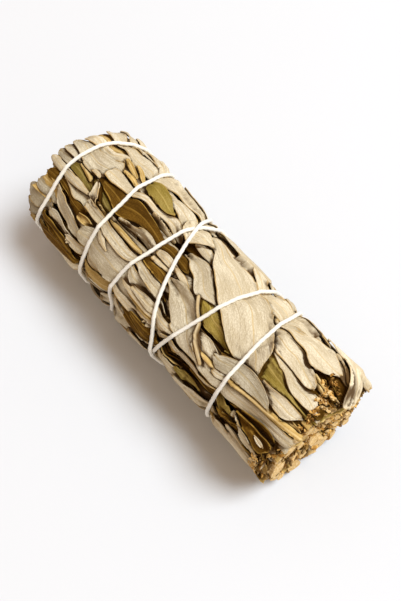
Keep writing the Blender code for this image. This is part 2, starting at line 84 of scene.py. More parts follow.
# ---------- camera, floor and light
view = {"target": (0.0, 1.85, 16.6), "azimuth": 50.75, "elevation": 63.33, "distance": 259.9, "lens": 60}
studio = {
    "floorSize": 6.0, "floorColour": (0.70, 0.717, 0.742),
    "world": 0.56, "worldColour": (1.0, 0.79, 0.62),
    "keyPower": 52.0, "keySize": 0.95, "keyPlace": (0.68, 0.74, 1.92), "keyColour": (0.93, 1.0, 1.06),
}


def deselect():
    for obj in list(bpy.context.selected_objects):
        obj.select_set(False)


def activate(obj):
    deselect()
    obj.select_set(True)
    bpy.context.view_layer.objects.active = obj


def addCamera():
    turn, rise = math.radians(view["azimuth"]), math.radians(view["elevation"])
    away = np.array((math.sin(turn) * math.cos(rise), -math.cos(turn) * math.cos(rise), math.sin(rise)))
    place = (np.array(view["target"]) + view["distance"] * away) * mm
    deselect()
    bpy.ops.object.camera_add(location=place, rotation=(math.pi / 2 - rise, 0, turn))
    camera = bpy.context.object
    camera.data.lens = view["lens"]
    camera.data.clip_start = 0.01
    bpy.context.scene.camera = camera


def addLight():
    bpy.ops.object.light_add(type="AREA", location=studio["keyPlace"])
    key = bpy.context.object
    key.data.size = studio["keySize"]
    key.data.energy = studio["keyPower"]
    key.data.color = studio["keyColour"]
    toward = -key.location.normalized()
    key.rotation_euler = toward.to_track_quat("-Z", "Y").to_euler()
    world = bpy.data.worlds.new("studio")
    world.use_nodes = True
    world.node_tree.nodes["Background"].inputs["Color"].default_value = (*studio["worldColour"], 1)
    world.node_tree.nodes["Background"].inputs["Strength"].default_value = studio["world"]
    bpy.context.scene.world = world
    bpy.context.scene.view_settings.view_transform = "Standard"


# ---------- materials

def node(tree, kind, inputs=None, **settings):
    made = tree.nodes.new(kind)
    for key, value in settings.items():
        setattr(made, key, value)
    for key, value in (inputs or {}).items():
        if isinstance(value, bpy.types.NodeSocket):
            tree.links.new(value, made.inputs[key])
        else:
            made.inputs[key].default_value = value
    return made


def calc(tree, how, a, b=0.0, c=0.0, clamp=False):
    return node(tree, "ShaderNodeMath", {0: a, 1: b, 2: c}, operation=how, use_clamp=clamp).outputs[0]


def blendColours(tree, share, a, b, how="MIX"):
    a = a if isinstance(a, bpy.types.NodeSocket) else (*a, 1)
    b = b if isinstance(b, bpy.types.NodeSocket) else (*b, 1)
    made = node(tree, "ShaderNodeMix", {0: share, 6: a, 7: b}, data_type="RGBA", blend_type=how)
    return made.outputs[2]


def ramp(tree, value, low, high):
    made = node(tree, "ShaderNodeMapRange", {0: value, 1: low, 2: high}, interpolation_type="SMOOTHSTEP")
    return made.outputs[0]


def grainNoise(tree, coordinates, scale, detail=3.0, roughness=0.55, distortion=0.0):
    placed = node(tree, "ShaderNodeMapping", {0: coordinates, 3: scale}).outputs[0]
    made = node(tree, "ShaderNodeTexNoise", {
        "Vector": placed, "Scale": 1.0, "Detail": detail, "Roughness": roughness, "Distortion": distortion})
    return made.outputs[0]


def newMaterial(name):
    made = bpy.data.materials.new(name)
    made.use_nodes = True
    return made, made.node_tree, made.node_tree.nodes["Principled BSDF"]


leafFinishes = {    # light and deep blade colour, midrib, edge, what old ends turn to, vein strength
    "paleLeaf": {"light": (0.76, 0.67, 0.495), "deep": (0.45, 0.355, 0.21), "rib": (0.60, 0.46, 0.25),
                 "rim": (0.50, 0.32, 0.11), "old": (0.34, 0.20, 0.05), "veins": 0.55},
    "oliveLeaf": {"light": (0.36, 0.265, 0.075), "deep": (0.21, 0.145, 0.02), "rib": (0.45, 0.33, 0.10),
                  "rim": (0.42, 0.28, 0.07), "old": (0.24, 0.13, 0.02), "veins": 0.7},
    "brownLeaf": {"light": (0.16, 0.078, 0.009), "deep": (0.06, 0.026, 0.002), "rib": (0.24, 0.13, 0.02),
                  "rim": (0.42, 0.25, 0.05), "old": (0.09, 0.045, 0.006), "veins": 0.9},
    "strawLeaf": {"light": (0.66, 0.45, 0.17), "deep": (0.38, 0.23, 0.055), "rib": (0.70, 0.52, 0.24),
                  "rim": (0.66, 0.47, 0.18), "old": (0.22, 0.12, 0.025), "veins": 0.6},
}
shade = (0.075, 0.030, 0.002)    # painted shade: the warm dark painted into the deep gaps between leaves


def leafMaterial(name, look):
    made, tree, shader = newMaterial(name)
    grain = node(tree, "ShaderNodeUVMap", uv_map="grain").outputs[0]         # mm along and off the midrib
    blade = node(tree, "ShaderNodeUVMap", uv_map="blade").outputs[0]
    parts = node(tree, "ShaderNodeSeparateXYZ", {0: blade})
    grainParts = node(tree, "ShaderNodeSeparateXYZ", {0: grain})
    alongShare, acrossShare = parts.outputs[0], parts.outputs[1]
    offMiddle = calc(tree, "ABSOLUTE", calc(tree, "SUBTRACT", acrossShare, 0.5))
    offRib = calc(tree, "ABSOLUTE", grainParts.outputs[1])
    toEdge = calc(tree, "MULTIPLY", offRib, calc(tree, "SUBTRACT", calc(tree, "DIVIDE", 0.5, offMiddle), 1.0))
    # faint blotches, then long fine veins, then the crepe of a dried leaf
    blotch = grainNoise(tree, grain, (0.12, 0.3, 1), 2.0, 0.5, 0.3)
    colour = blendColours(tree, calc(tree, "MULTIPLY", ramp(tree, blotch, 0.62, 0.36), look["veins"]),
                          look["light"], look["deep"])
    veins = grainNoise(tree, grain, (0.10, 3.4, 1), 3.0, 0.6, 0.15)
    darkVein = calc(tree, "MULTIPLY", ramp(tree, veins, 0.52, 0.36), look["veins"])
    colour = blendColours(tree, darkVein, colour, look["deep"])
    crepe = grainNoise(tree, grain, (2.1, 3.2, 1), 2.0, 0.65)
    colour = blendColours(tree, calc(tree, "MULTIPLY", ramp(tree, crepe, 0.60, 0.40), 0.45), colour, look["deep"])
    colour = blendColours(tree, calc(tree, "MULTIPLY", ramp(tree, crepe, 0.56, 0.70), 0.5), colour, look["light"])
    # side veins slanting out from the midrib
    slant = calc(tree, "MULTIPLY_ADD", offRib, -0.75, calc(tree, "MULTIPLY", grainParts.outputs[0], 0.5))
    sideVein = ramp(tree, calc(tree, "ABSOLUTE", calc(tree, "SUBTRACT", calc(tree, "FRACT", slant), 0.5)), 0.07, 0.0)
    colour = blendColours(tree, calc(tree, "MULTIPLY", sideVein, 0.28), colour, look["deep"])
    ribMask = calc(tree, "MULTIPLY", ramp(tree, offRib, 0.26, 0.10), ramp(tree, blotch, 0.30, 0.50))
    colour = blendColours(tree, calc(tree, "MULTIPLY", ribMask, 0.85), colour, look["rib"])
    rimNoise = ramp(tree, grainNoise(tree, grain, (0.25, 0.25, 1), 2.0), 0.35, 0.62)
    rimMask = calc(tree, "MULTIPLY", ramp(tree, toEdge, 0.32, 0.08), rimNoise)
    colour = blendColours(tree, calc(tree, "MULTIPLY", rimMask, 0.85), colour, look["rim"])
    # brown tips and stained areas
    age = node(tree, "ShaderNodeAttribute", attribute_name="age").outputs["Fac"]
    towardTip = calc(tree, "ABSOLUTE", calc(tree, "SUBTRACT", alongShare, 0.5))
    stain = ramp(tree, calc(tree, "ADD", grainNoise(tree, grain, (0.22, 0.5, 1), 3.0, 0.65),
                            calc(tree, "MULTIPLY", ramp(tree, towardTip, 0.36, 0.5), 0.25)), 0.55, 0.78)
    colour = blendColours(tree, calc(tree, "MULTIPLY", stain, age, clamp=True), colour, look["old"])
    # per-leaf brightness: partly the leaf's own tone, partly painted light and shade that brighten or darken a leaf for
    # where the key light falls on it
    tint = node(tree, "ShaderNodeAttribute", attribute_name="tint").outputs["Fac"]
    value = calc(tree, "MULTIPLY_ADD", tint, 0.22, 1.0)
    colour = node(tree, "ShaderNodeHueSaturation", {"Value": value, "Color": colour}).outputs[0]
    # painted shade: where a leaf lies under others, its colour goes toward the warm dark of shade
    crevice = node(tree, "ShaderNodeAttribute", attribute_name="crevice").outputs["Fac"]
    colour = blendColours(tree, crevice, colour, shade)
    tree.links.new(colour, shader.inputs["Base Color"])
    shader.inputs["Specular IOR Level"].default_value = 0.05
    rough = node(tree, "ShaderNodeMapRange", {0: crepe, 3: 0.68, 4: 0.9}).outputs[0]
    tree.links.new(rough, shader.inputs["Roughness"])
    height = calc(tree, "MULTIPLY_ADD", veins, 1.3, calc(tree, "MULTIPLY", crepe, 0.7))
    height = calc(tree, "MULTIPLY_ADD", sideVein, 0.25, height)
    bump = node(tree, "ShaderNodeBump", {"Strength": 0.75, "Distance": 0.22 * mm, "Height": height})
    tree.links.new(bump.outputs[0], shader.inputs["Normal"])
    return made


woodFinishes = {    # bark, streaks, scale of the pattern along and across
    "dryStem": {"light": (0.50, 0.34, 0.14), "deep": (0.22, 0.12, 0.035), "scale": (160, 1400, 1400)},
    "stemPith": {"light": (0.92, 0.70, 0.38), "deep": (0.66, 0.42, 0.15), "scale": (1500, 1500, 1500)},
    "chaff": {"light": (0.88, 0.55, 0.17), "deep": (0.36, 0.17, 0.03), "scale": (700, 700, 700)},
    "oldStem": {"light": (0.42, 0.22, 0.05), "deep": (0.13, 0.055, 0.008), "scale": (900, 900, 900)},
    # packed inner leaves: dark brown, partly their own colour and partly painted shade, as they are only seen deep in
    # the gaps
    "packedLeaf": {"light": (0.20, 0.13, 0.05), "deep": (0.05, 0.028, 0.008), "scale": (60, 500, 500)},
}


def woodMaterial(name, look):
    made, tree, shader = newMaterial(name)
    place = node(tree, "ShaderNodeTexCoord").outputs["Object"]
    coarse = grainNoise(tree, place, look["scale"], 4.0, 0.65, 0.3)
    fine = grainNoise(tree, place, tuple(3.1 * s for s in look["scale"]), 3.0, 0.6)
    colour = blendColours(tree, ramp(tree, coarse, 0.38, 0.62), look["deep"], look["light"])
    colour = blendColours(tree, calc(tree, "MULTIPLY", ramp(tree, fine, 0.6, 0.42), 0.5), colour, look["deep"])
    # painted shade in the gaps, as on the leaves
    crevice = node(tree, "ShaderNodeAttribute", attribute_name="crevice").outputs["Fac"]
    colour = blendColours(tree, crevice, colour, shade)
    tree.links.new(colour, shader.inputs["Base Color"])
    tree.links.new(node(tree, "ShaderNodeMapRange", {0: fine, 3: 0.6, 4: 0.85}).outputs[0], shader.inputs["Roughness"])
    shader.inputs["Specular IOR Level"].default_value = 0.1
    bump = node(tree, "ShaderNodeBump", {"Strength": 0.7, "Distance": 0.25 * mm,
                                         "Height": calc(tree, "ADD", coarse, fine)})
    tree.links.new(bump.outputs[0], shader.inputs["Normal"])
    return made


def cottonMaterial():
    made, tree, shader = newMaterial("cottonString")
    twist = node(tree, "ShaderNodeUVMap", uv_map="twist").outputs[0]
    fibre = grainNoise(tree, twist, (1.2, 7.0, 1), 3.0, 0.6, 0.3)
    fluff = grainNoise(tree, twist, (9.0, 9.0, 1), 2.0)
    colour = blendColours(tree, ramp(tree, fibre, 0.34, 0.6), (0.86, 0.80, 0.68), (0.95, 0.92, 0.84))
    tree.links.new(colour, shader.inputs["Base Color"])
    shader.inputs["Roughness"].default_value = 0.85
    shader.inputs["Sheen Weight"].default_value = 0.25
    shader.inputs["Specular IOR Level"].default_value = 0.25
    bump = node(tree, "ShaderNodeBump", {"Strength": 0.6, "Distance": 0.12 * mm,
                                         "Height": calc(tree, "ADD", fibre, fluff)})
    tree.links.new(bump.outputs[0], shader.inputs["Normal"])
    return made


def floorMaterial():
    made, tree, shader = newMaterial("paleFloor")
    place = node(tree, "ShaderNodeTexCoord").outputs["Object"]
    faint = grainNoise(tree, place, (9, 9, 9), 3.0)
    colour = blendColours(tree, faint, tuple(0.985 * c for c in studio["floorColour"]), studio["floorColour"])
    tree.links.new(colour, shader.inputs["Base Color"])
    shader.inputs["Roughness"].default_value = 0.9
    shader.inputs["Specular IOR Level"].default_value = 0.1
    return made


finishes = {name: leafMaterial(name, look) for name, look in leafFinishes.items()}
finishes.update({name: woodMaterial(name, look) for name, look in woodFinishes.items()})
finishes["cottonString"] = cottonMaterial()

addCamera()
addLight()
bpy.ops.mesh.primitive_plane_add(size=studio["floorSize"])
floor = bpy.context.object
floor.name = "paleFloor"
floor.data.materials.append(floorMaterial())
print("camera, light and floor are set")

# ---------- the string's route, which the leaves are pressed in under
string = {
    "radius": 0.49, "plies": 3, "plyDepth": 0.055, "twistPerMm": 1.15, "step": 1.6, "sides": 12,
    "knotAround": 210.0, "knotAlong": -17.5, "tail": 8.0,
}
stringRoute = np.array([    # degrees turned, along
    (-150, -17.5), (-60, -23.5), (0, -26.7), (20, -26.6), (42, -26.8), (69, -26.9), (84, -27.2),
    (100, -28.0), (130, -29.4), (157, -31.3), (250, -38.0), (345, -45.3), (363, -45.5), (385, -44.8),
    (410, -45.0), (437, -45.5), (461, -45.0), (484, -43.6), (505, -42.4), (560, -36.5), (623, -28.0),
    (690, -16.5), (710, -15.1), (733, -15.1), (750, -14.3), (767, -13.7), (779, -13.0), (793, -12.0),
    (817, -11.2), (841, -10.3), (865, -9.1), (910, -6.0), (967, -2.5), (1040, 1.2), (1079, 3.3),
    (1092, 4.7), (1108, 6.2), (1122, 7.7), (1143, 9.5), (1173, 11.5), (1202, 12.8), (1230, 13.6),
    (1338, 20.0), (1400, 23.2), (1436, 24.4), (1457, 24.8), (1477, 25.2), (1493, 25.1), (1524, 24.1),
    (1552, 23.2), (1587, 21.8), (1687, 14.5), (1760, 7.5), (1802, 3.9), (1820, 2.7), (1836, 0.8),
    (1853, -1.7), (1882, -5.4), (1909, -8.9), (1923, -10.6), (1945, -12.8), (2010, -17.5)], float)


def throughPoints(x, y, at):
    slope = np.gradient(y, x)
    i = np.clip(np.searchsorted(x, at, side="right") - 1, 0, len(x) - 2)
    width = x[i + 1] - x[i]
    t = (at - x[i]) / width
    return (y[i] * (1 + 2 * t) * (1 - t) ** 2 + y[i + 1] * t * t * (3 - 2 * t)
            + width * (slope[i] * t * (1 - t) ** 2 - slope[i + 1] * t * t * (1 - t)))


def stringAlong(turned):
    return throughPoints(stringRoute[:, 0], stringRoute[:, 1], turned)


def spot(along, around, radius):
    along, turn, radius = np.broadcast_arrays(along, np.radians(around), radius)
    return np.stack([along, -radius * np.cos(turn), radius * np.sin(turn)], axis=-1)


# ---------- the pile: how high the leaves laid so far reach, as a radius over the unrolled bundle
pile = {"reach": 54.0, "step": 0.25, "turn": 0.8}
pileRows = int(2 * pile["reach"] / pile["step"]) + 1
pileColumns = int(360 / pile["turn"])
gridAlong = (np.arange(pileRows) * pile["step"] - pile["reach"])[:, None]
gridAround = (np.arange(pileColumns) * pile["turn"])[None, :]


def bundleRadius(radius, along, around):
    offBottom = np.radians((around - 270 + 180) % 360 - 180)
    belly = bundle["bellyDepth"] - bundle["outerRadius"] + radius
    radius = np.minimum(radius, belly / np.maximum(np.cos(offBottom), 0.5))
    for side, fuller in bundle["fuller"]:
        facing = np.maximum(np.cos(np.radians(around - side)), 0) ** 2
        radius = radius + np.interp(along, *np.array(fuller).T) * facing
    start, length, depth, more, side = bundle["farTaper"]
    depth = depth + more * np.cos(np.radians(around - side))
    return radius - depth * np.clip((start - along) / length, 0, 1) ** 2


def nearEnd(around):
    places, ends = np.array(bundle["nearEnds"]).T
    return np.interp((np.asarray(around) + 40) % 360 - 40, places, ends)


def faceEnd(around, out):
    middle, inner, outer = bundle["cutFace"]
    rim = nearEnd(around)
    return rim + (middle - rim) * np.clip((outer - out) / (outer - inner), 0, 1)


def farEnd(around):
    places, ends = np.array(bundle["farEnds"]).T
    return np.interp((np.asarray(around) + 40) % 360 - 40, places, ends)


def nearestString(along, around):
    nearest = np.full(np.broadcast(along, around).shape, 99.0)
    for turn in range(-1, 6):
        turned = around + 360 * turn
        inside = (turned >= stringRoute[0, 0]) & (turned <= stringRoute[-1, 0])
        reach = np.abs(along - stringAlong(np.clip(turned, stringRoute[0, 0], stringRoute[-1, 0])))
        nearest = np.where(inside, np.minimum(nearest, reach), nearest)
    return nearest


top = bundleRadius(bundle["coreRadius"], gridAlong, gridAround)
dents = bundle["dent"] * np.exp(-(nearestString(gridAlong, gridAround) / bundle["dentWidth"]) ** 2)


def pileCell(along, around):
    row = np.round((along + pile["reach"]) / pile["step"]).astype(int)
    column = np.round(around / pile["turn"]).astype(int) % pileColumns
    return np.clip(row, 0, pileRows - 1), column


def spread(grid, rows, columns):
    wide = grid.copy()
    for shift in range(1, rows + 1):
        wide[shift:] = np.maximum(wide[shift:], grid[:-shift])
        wide[:-shift] = np.maximum(wide[:-shift], grid[shift:])
    tall = wide.copy()
    for shift in range(1, columns + 1):
        tall = np.maximum(tall, np.maximum(np.roll(wide, shift, 1), np.roll(wide, -shift, 1)))
    return tall


def blur(grid, rows, columns, sides="wrap"):
    for _ in range(3):
        for axis, reach in ((0, rows), (1, columns)):
            padding = [(0, 0), (0, 0)]
            padding[axis] = (reach, reach)
            wide = np.pad(grid, padding, "edge" if axis == 0 else sides)
            summed = np.insert(np.cumsum(wide, axis=axis), 0, 0, axis=axis)
            size = 2 * reach + 1
            grid = (np.take(summed, range(size, summed.shape[axis]), axis)
                    - np.take(summed, range(summed.shape[axis] - size), axis)) / size
    return grid


def finer(grid):
    out = grid
    for axis in (0, 1):
        out = np.moveaxis(out, axis, 0)
        made = np.empty((2 * len(out) - 1,) + out.shape[1:])
        made[::2] = out
        made[1::2] = (out[1:] + out[:-1]) / 2
        out = np.moveaxis(made, 0, axis)
    return out


def raisePile(along, around, radius):
    along, around, radius = (finer(finer(grid)) for grid in (along, around, radius))
    np.maximum.at(top, pileCell(along.ravel(), around.ravel()), radius.ravel())


# ---------- leaves
leafForms = {    # how slowly the leaf widens from its base and narrows to its tip, its narrowest share
    "lance": (0.55, 0.75, 0.06), "strap": (0.22, 0.30, 0.25), "round": (0.75, 0.30, 0.10),
    "taper": (0.30, 1.10, 0.08), "blade": (0.40, 0.50, 0.08),
}
leafLooks = {    # mm, a pair is a range that each leaf draws from
    "easy": {"arch": (0.0, 0.18), "flat": (0.15, 0.5), "crinkle": (0.03, 0.07), "folds": 1, "foldDepth": 0.16,
             "tipLift": (0.0, 0.25), "baseLift": 0.0, "tilt": (-0.15, 0.15), "rib": (-0.16, -0.08),
             "rimLow": (0.0, 0.3), "rimHigh": (0.0, 0.3), "frill": (0.02, 0.1), "ragged": 0.25,
             "rollLow": None, "rollHigh": None, "age": (0.0, 0.7), "tint": (-0.6, 0.6), "clear": 80},
    "domed": {"arch": (0.35, 0.55), "flat": 0.1, "tilt": 0.0, "rimLow": 0.0, "rimHigh": 0.0},
    "cupped": {"arch": (-0.8, -0.5), "flat": 0.2},
    "rolled": {"rollHigh": (0.40, 0.25, 1), "arch": 0.05},
    "rolledLow": {"rollLow": (0.40, 0.25, 1), "arch": 0.05},
    "tucked": {"rollLow": (0.45, 0.2, -1), "rollHigh": (0.45, 0.2, -1), "arch": 0.05},
    "folded": {"rollHigh": (0.35, 0.5, 1), "arch": 0.05, "folds": 2},
    "foldedLow": {"rollLow": (0.35, 0.5, 1), "arch": 0.05, "folds": 2},
    "crumpled": {"crinkle": (0.18, 0.28), "folds": 3, "foldDepth": 0.4, "ragged": 0.8, "tilt": (-0.4, 0.4)},
    "torn": {"ragged": 1.2, "folds": 2, "foldDepth": 0.25},
    "stalk": {"arch": (0.5, 0.7), "flat": 0.0, "crinkle": 0.03, "folds": 0, "tilt": 0.0, "ragged": 0.3, "frill": 0.0,
              "rib": 0.0, "rimLow": 0.0, "rimHigh": 0.0},
}
blankSizes = {"broad": (54, 24), "slim": (44, 13), "narrow": (36, 8), "fill": (36, 9), "under": (20, 6),
              "bit": (12, 6)}    # faces along, across
blanks = {}


def makeBlank(name, along, across):
    deselect()
    bpy.ops.mesh.primitive_grid_add(x_subdivisions=along, y_subdivisions=across, size=2)
    obj = bpy.context.object
    obj.name = name + "Blank"
    obj.data.uv_layers[0].name = "blade"
    obj.data.uv_layers.new(name="grain")
    for attribute in ("tint", "age"):
        obj.data.attributes.new(attribute, "FLOAT", "POINT")
    loops = np.zeros(len(obj.data.loops), int)
    obj.data.loops.foreach_get("vertex_index", loops)
    obj.hide_render = True
    return {"obj": obj, "along": along + 1, "across": across + 1, "loops": loops}


def ripple(x, y, wave, rng, count=5):
    total = 0.0
    for _ in range(count):
        turn = rng.uniform(0, math.pi)
        length = wave * rng.uniform(0.6, 1.6)
        total = total + np.sin((x * math.cos(turn) + y * math.sin(turn)) * math.tau / length
                               + rng.uniform(0, math.tau))
    return total / math.sqrt(count)


def drawStyle(look, extras, rng):
    style = dict(leafLooks["easy"])
    style.update(leafLooks[look])
    style.update(extras)
    for key in sorted(style):
        value = style[key]
        if isinstance(value, tuple) and len(value) == 2:
            style[key] = rng.uniform(*value)
    return style


def rollEdge(x, half, roll):
    if roll is None:
        return x, 0 * x
    radius, share, sense = roll
    flatPart = half * (1 - share)
    over = np.maximum(x - flatPart, 0)
    angle = np.minimum(over / radius, 2.5)
    rest = over - angle * radius
    moved = np.minimum(x, flatPart) + radius * np.sin(angle) + rest * np.cos(angle)
    return moved, sense * (radius * (1 - np.cos(angle)) + rest * np.sin(angle))


def drape(need, clear):
    soft = need
    for _ in range(14):
        soft = np.maximum(need, blur(soft, 1, 2, "edge"))
    soft = blur(soft, max(1, need.shape[0] // 5), max(1, need.shape[1] // 9), "edge")
    soft = soft + max(0.0, np.percentile(need - soft, clear))
    soft = np.minimum(soft, blur(need, 2, 3, "edge") + 0.5)
    height = np.maximum(need, soft)
    return np.maximum(need, blur(height, 1, 1, "edge"))


def newSheet(blankName, finish, points, along, across, style):
    blank = blanks[blankName]
    obj = blank["obj"].copy()
    obj.data = blank["obj"].data.copy()
    obj.hide_render = False
    bpy.context.scene.collection.objects.link(obj)
    obj.data.vertices.foreach_set("co", ((points + bundle["axis"]) * mm).ravel())
    grain = np.stack([along.ravel(), across.ravel()], axis=1)[blank["loops"]]
    obj.data.uv_layers["grain"].data.foreach_set("uv", grain.ravel().astype(np.float32))
    count = len(obj.data.vertices)
    obj.data.attributes["tint"].data.foreach_set("value", np.full(count, style["tint"], np.float32))
    obj.data.attributes["age"].data.foreach_set("value", np.full(count, style["age"], np.float32))
    obj.data.materials.clear()
    obj.data.materials.append(finishes[finish])
    return obj


def plainLeaf(base, tip, width, form, bow=0.0):
    widening, narrowing, narrow = leafForms[form]
    widest = widening / (widening + narrowing)
    tallest = widest ** widening * (1 - widest) ** narrowing
    line, halves = [], []
    for share in (0.0, 0.06, 0.2, 0.4, 0.6, 0.8, 0.94, 1.0):
        line.append((base[0] + (tip[0] - base[0]) * share,
                     base[1] + (tip[1] - base[1]) * share + bow / perDegree * math.sin(math.pi * share)))
        halves.append(width / 2 * max(share ** widening * (1 - share) ** narrowing / tallest, narrow))
    return line, halves


def layLeaf(finish, line, halves, look="easy", blankName=None, **extras):
    rng = random.Random(str(line[0]) + str(line[-1]))
    style = drawStyle(look, extras, rng)
    if halves is None:      # given by its two edges: along, around, along, around
        edgeLow, edgeHigh = (np.array(line, float)[:, i:i + 2] * (1, perDegree) for i in (0, 2))
        points = (edgeLow + edgeHigh) / 2
        wide = np.linalg.norm(edgeHigh - edgeLow, axis=1) / 2
        edges = np.stack([wide, wide], axis=1)
    else:                   # given by its middle line and half widths
        points = np.array(line, float) * (1, perDegree)
        edges = np.array([half if isinstance(half, tuple) else (half, half) for half in halves], float)
    if blankName is None:
        blankName = "broad" if edges.sum(axis=1).max() > 5.6 else "slim" if edges.sum(axis=1).max() > 2.6 else "narrow"
    blank = blanks[blankName]
    share = np.linspace(0, 1, blank["along"])
    share = 0.65 * share + 0.35 * (0.5 - 0.5 * np.cos(np.pi * share))     # rows closer at the ends
    travelled = np.concatenate([[0], np.cumsum(np.linalg.norm(np.diff(points, axis=0), axis=1))])
    span = travelled[-1]
    distance = share * span
    place = np.stack([throughPoints(travelled, points[:, i], distance) for i in (0, 1)])
    place[1] += 0.01 * min(span, 20) * ripple(distance, 0, span, rng, 2)
    heading = np.gradient(place, distance, axis=1)
    heading /= np.linalg.norm(heading, axis=0)
    if halves is None:
        sideways = np.stack([throughPoints(travelled, edgeHigh[:, i] - edgeLow[:, i], distance) for i in (0, 1)])
        sideways /= np.maximum(np.linalg.norm(sideways, axis=0), 0.01)
    else:
        sideways = np.stack([-heading[1], heading[0]])
    v = np.linspace(-1, 1, blank["across"])[:, None]
    rounding = []
    for gone, end in ((distance, 0), (span - distance, -1)):
        reach = max(0.3, (0.45 if halves is None else 0.9) * edges[end].mean())
        rounding.append(np.sqrt(1 - (1 - np.clip(gone / reach, 0.015, 1)) ** 2))
    half = []
    for i in (0, 1):
        wobble = 1 + 0.03 * ripple(distance, 0, 9.0, rng, 3) + 0.012 * ripple(distance, 0, 2.5, rng, 3)
        half.append(np.maximum(throughPoints(travelled, edges[:, i], distance), 0.12) * wobble * rounding[0] * rounding[1])
    halfLow, halfHigh = half
    xLow, liftLow = rollEdge(np.maximum(-v, 0) * halfLow, halfLow, style["rollLow"])
    xHigh, liftHigh = rollEdge(np.maximum(v, 0) * halfHigh, halfHigh, style["rollHigh"])
    x = xHigh - xLow
    torn = style["ragged"] * ripple(v * half[0].max(), 0, 2.2, rng, 4) * (
        np.clip((share - 0.93) / 0.07, 0, 1) - np.clip((0.07 - share) / 0.07, 0, 1))
    along = place[0] + torn * heading[0] + x * sideways[0]
    around = (place[1] + torn * heading[1] + x * sideways[1]) / perDegree
    need = spread(top, 1, 1)[pileCell(along, around)] + bundle["gap"]
    height = drape(need, style["clear"])
    widest = (halfLow + halfHigh) / 2
    grow = np.minimum(1.3 * widest / widest.max(), 1)
    side = np.clip(x / np.maximum(np.where(v < 0, halfLow, halfHigh), 0.2), -1.3, 1.3)
    offset = style["arch"] * (1 - side ** 2) * grow if style["arch"] > 0 else -style["arch"] * side ** 2 * grow
    offset = offset + style["flat"] * x ** 2 / (2 * bundle["faceRadius"])
    ribAt = style.get("middle", 0.0) * widest
    offset = offset + style["rib"] * np.exp(-((x - ribAt) / 0.3) ** 2) * grow
    for _ in range(int(style["folds"])):
        middle = rng.uniform(-0.75, 0.75) * widest + 0.2 * ripple(distance, 0, 14.0, rng, 2)
        depth = style["foldDepth"] * rng.uniform(0.4, 1.0) * rng.choice((-1, 1))
        offset = offset + depth * np.exp(-np.abs(x - middle) / 0.4) * np.sin(np.pi * share) ** 0.5
    offset = offset + style["crinkle"] * ripple(x, distance / 2.2, 3.2, rng, 6) * grow
    offset = offset + style["frill"] * side ** 4 * ripple(distance, 0.0, 5.0, rng, 3)
    offset = offset + np.where(v < 0, style["rimLow"], style["rimHigh"]) * side ** 6 * grow
    offset = offset + style["tilt"] * side * grow
    offset = offset + style["tipLift"] * np.clip((share - 0.72) / 0.28, 0, 1) ** 2
    offset = offset + style["baseLift"] * np.clip((0.25 - share) / 0.25, 0, 1) ** 2
    offset = offset + liftLow + liftHigh
    offset = np.maximum(offset - np.percentile(offset, 6), 0)
    radius = height + offset + style.get("lift", 0.0) * np.sin(np.pi * share) ** 2
    raisePile(along, around, radius + bundle["sheet"])
    flatX = np.where(v < 0, halfLow, halfHigh) * v - ribAt
    return newSheet(blankName, finish, spot(along.ravel(), around.ravel(), radius.ravel()),
                    distance + 0 * v + rng.uniform(0, 400), flatX, style)


for blankName, (alongFaces, acrossFaces) in blankSizes.items():
    blanks[blankName] = makeBlank(blankName, alongFaces, acrossFaces)

# ---------- the eight packed sprigs, with the leaves that are rooted in them
sprig = {
    "count": 8, "firstEdge": -38.0, "wander": 4.0, "wanderLength": 13.0, "heart": 3.6,
    "coreFar": -48.4, "coreNear": 42.5, "underLeaves": 17, "fillLeaves": 20, "seed": 7,
}
sheets = {}     # what is still one sheet thick, by CAD node
solids = {}     # what is closed already, by CAD node
sector = 360.0 / sprig["count"]
packedFinishes = ["paleLeaf"] * 9 + ["strawLeaf"] * 4 + ["brownLeaf"] * 4 + ["oliveLeaf"] * 2

lowerLeaves = {    # base, tip, width
    5: [((-45.5, 209), (-22.8, 233), 8.1), ((-33.5, 208), (-10.9, 192), 7.0), ((-22.4, 208), (0.8, 241), 7.7),
        ((-8.1, 209), (12.7, 186), 6.2), ((2.9, 210), (23.7, 233), 6.4), ((14.5, 211), (33.9, 189), 6.8),
        ((28.9, 210), (45.0, 231), 6.5)],
    6: [((-45.4, 253), (-22.0, 277), 6.6), ((-32.7, 255), (-11.1, 240), 7.7), ((-19.9, 256), (0.3, 276), 7.9),
        ((-8.8, 256), (11.1, 235), 6.7), ((2.6, 255), (25.8, 270), 6.2), ((16.5, 253), (40.5, 234), 7.0),
        ((27.8, 253), (45.0, 271), 7.6)],
    7: [((-44.1, 301), (-20.8, 317), 8.5), ((-32.6, 300), (-10.4, 280), 6.2), ((-19.9, 299), (3.6, 325), 7.7),
        ((-8.0, 298), (15.8, 269), 7.9), ((1.8, 298), (25.6, 324), 7.1), ((15.3, 299), (35.6, 287), 7.5),
        ((27.1, 301), (43.6, 323), 8.3)],
    8: [((-46.2, 343), (-25.8, 366), 6.2), ((-33.2, 343), (-13.4, 316), 6.2), ((-20.2, 344), (0.1, 372), 8.0),
        ((-7.5, 345), (12.3, 321), 6.4), ((2.9, 346), (21.9, 362), 6.2), ((15.7, 346), (39.3, 321), 7.6),
        ((24.5, 344), (42.0, 362), 8.4)],
}


def sprigEdge(number, along):
    phase = math.radians(3 * sector * number)
    return sector * number + sprig["firstEdge"] + sprig["wander"] * np.sin(along / sprig["wanderLength"] + phase)


def acrossSprig(number, along, share):
    low, high = sprigEdge(number, along), sprigEdge(number + 1, along)
    return low + (high - low) * share


def keep(group, node, obj):
    group.setdefault(node, []).append(obj)


dentsWide = spread(dents, 12, 4)


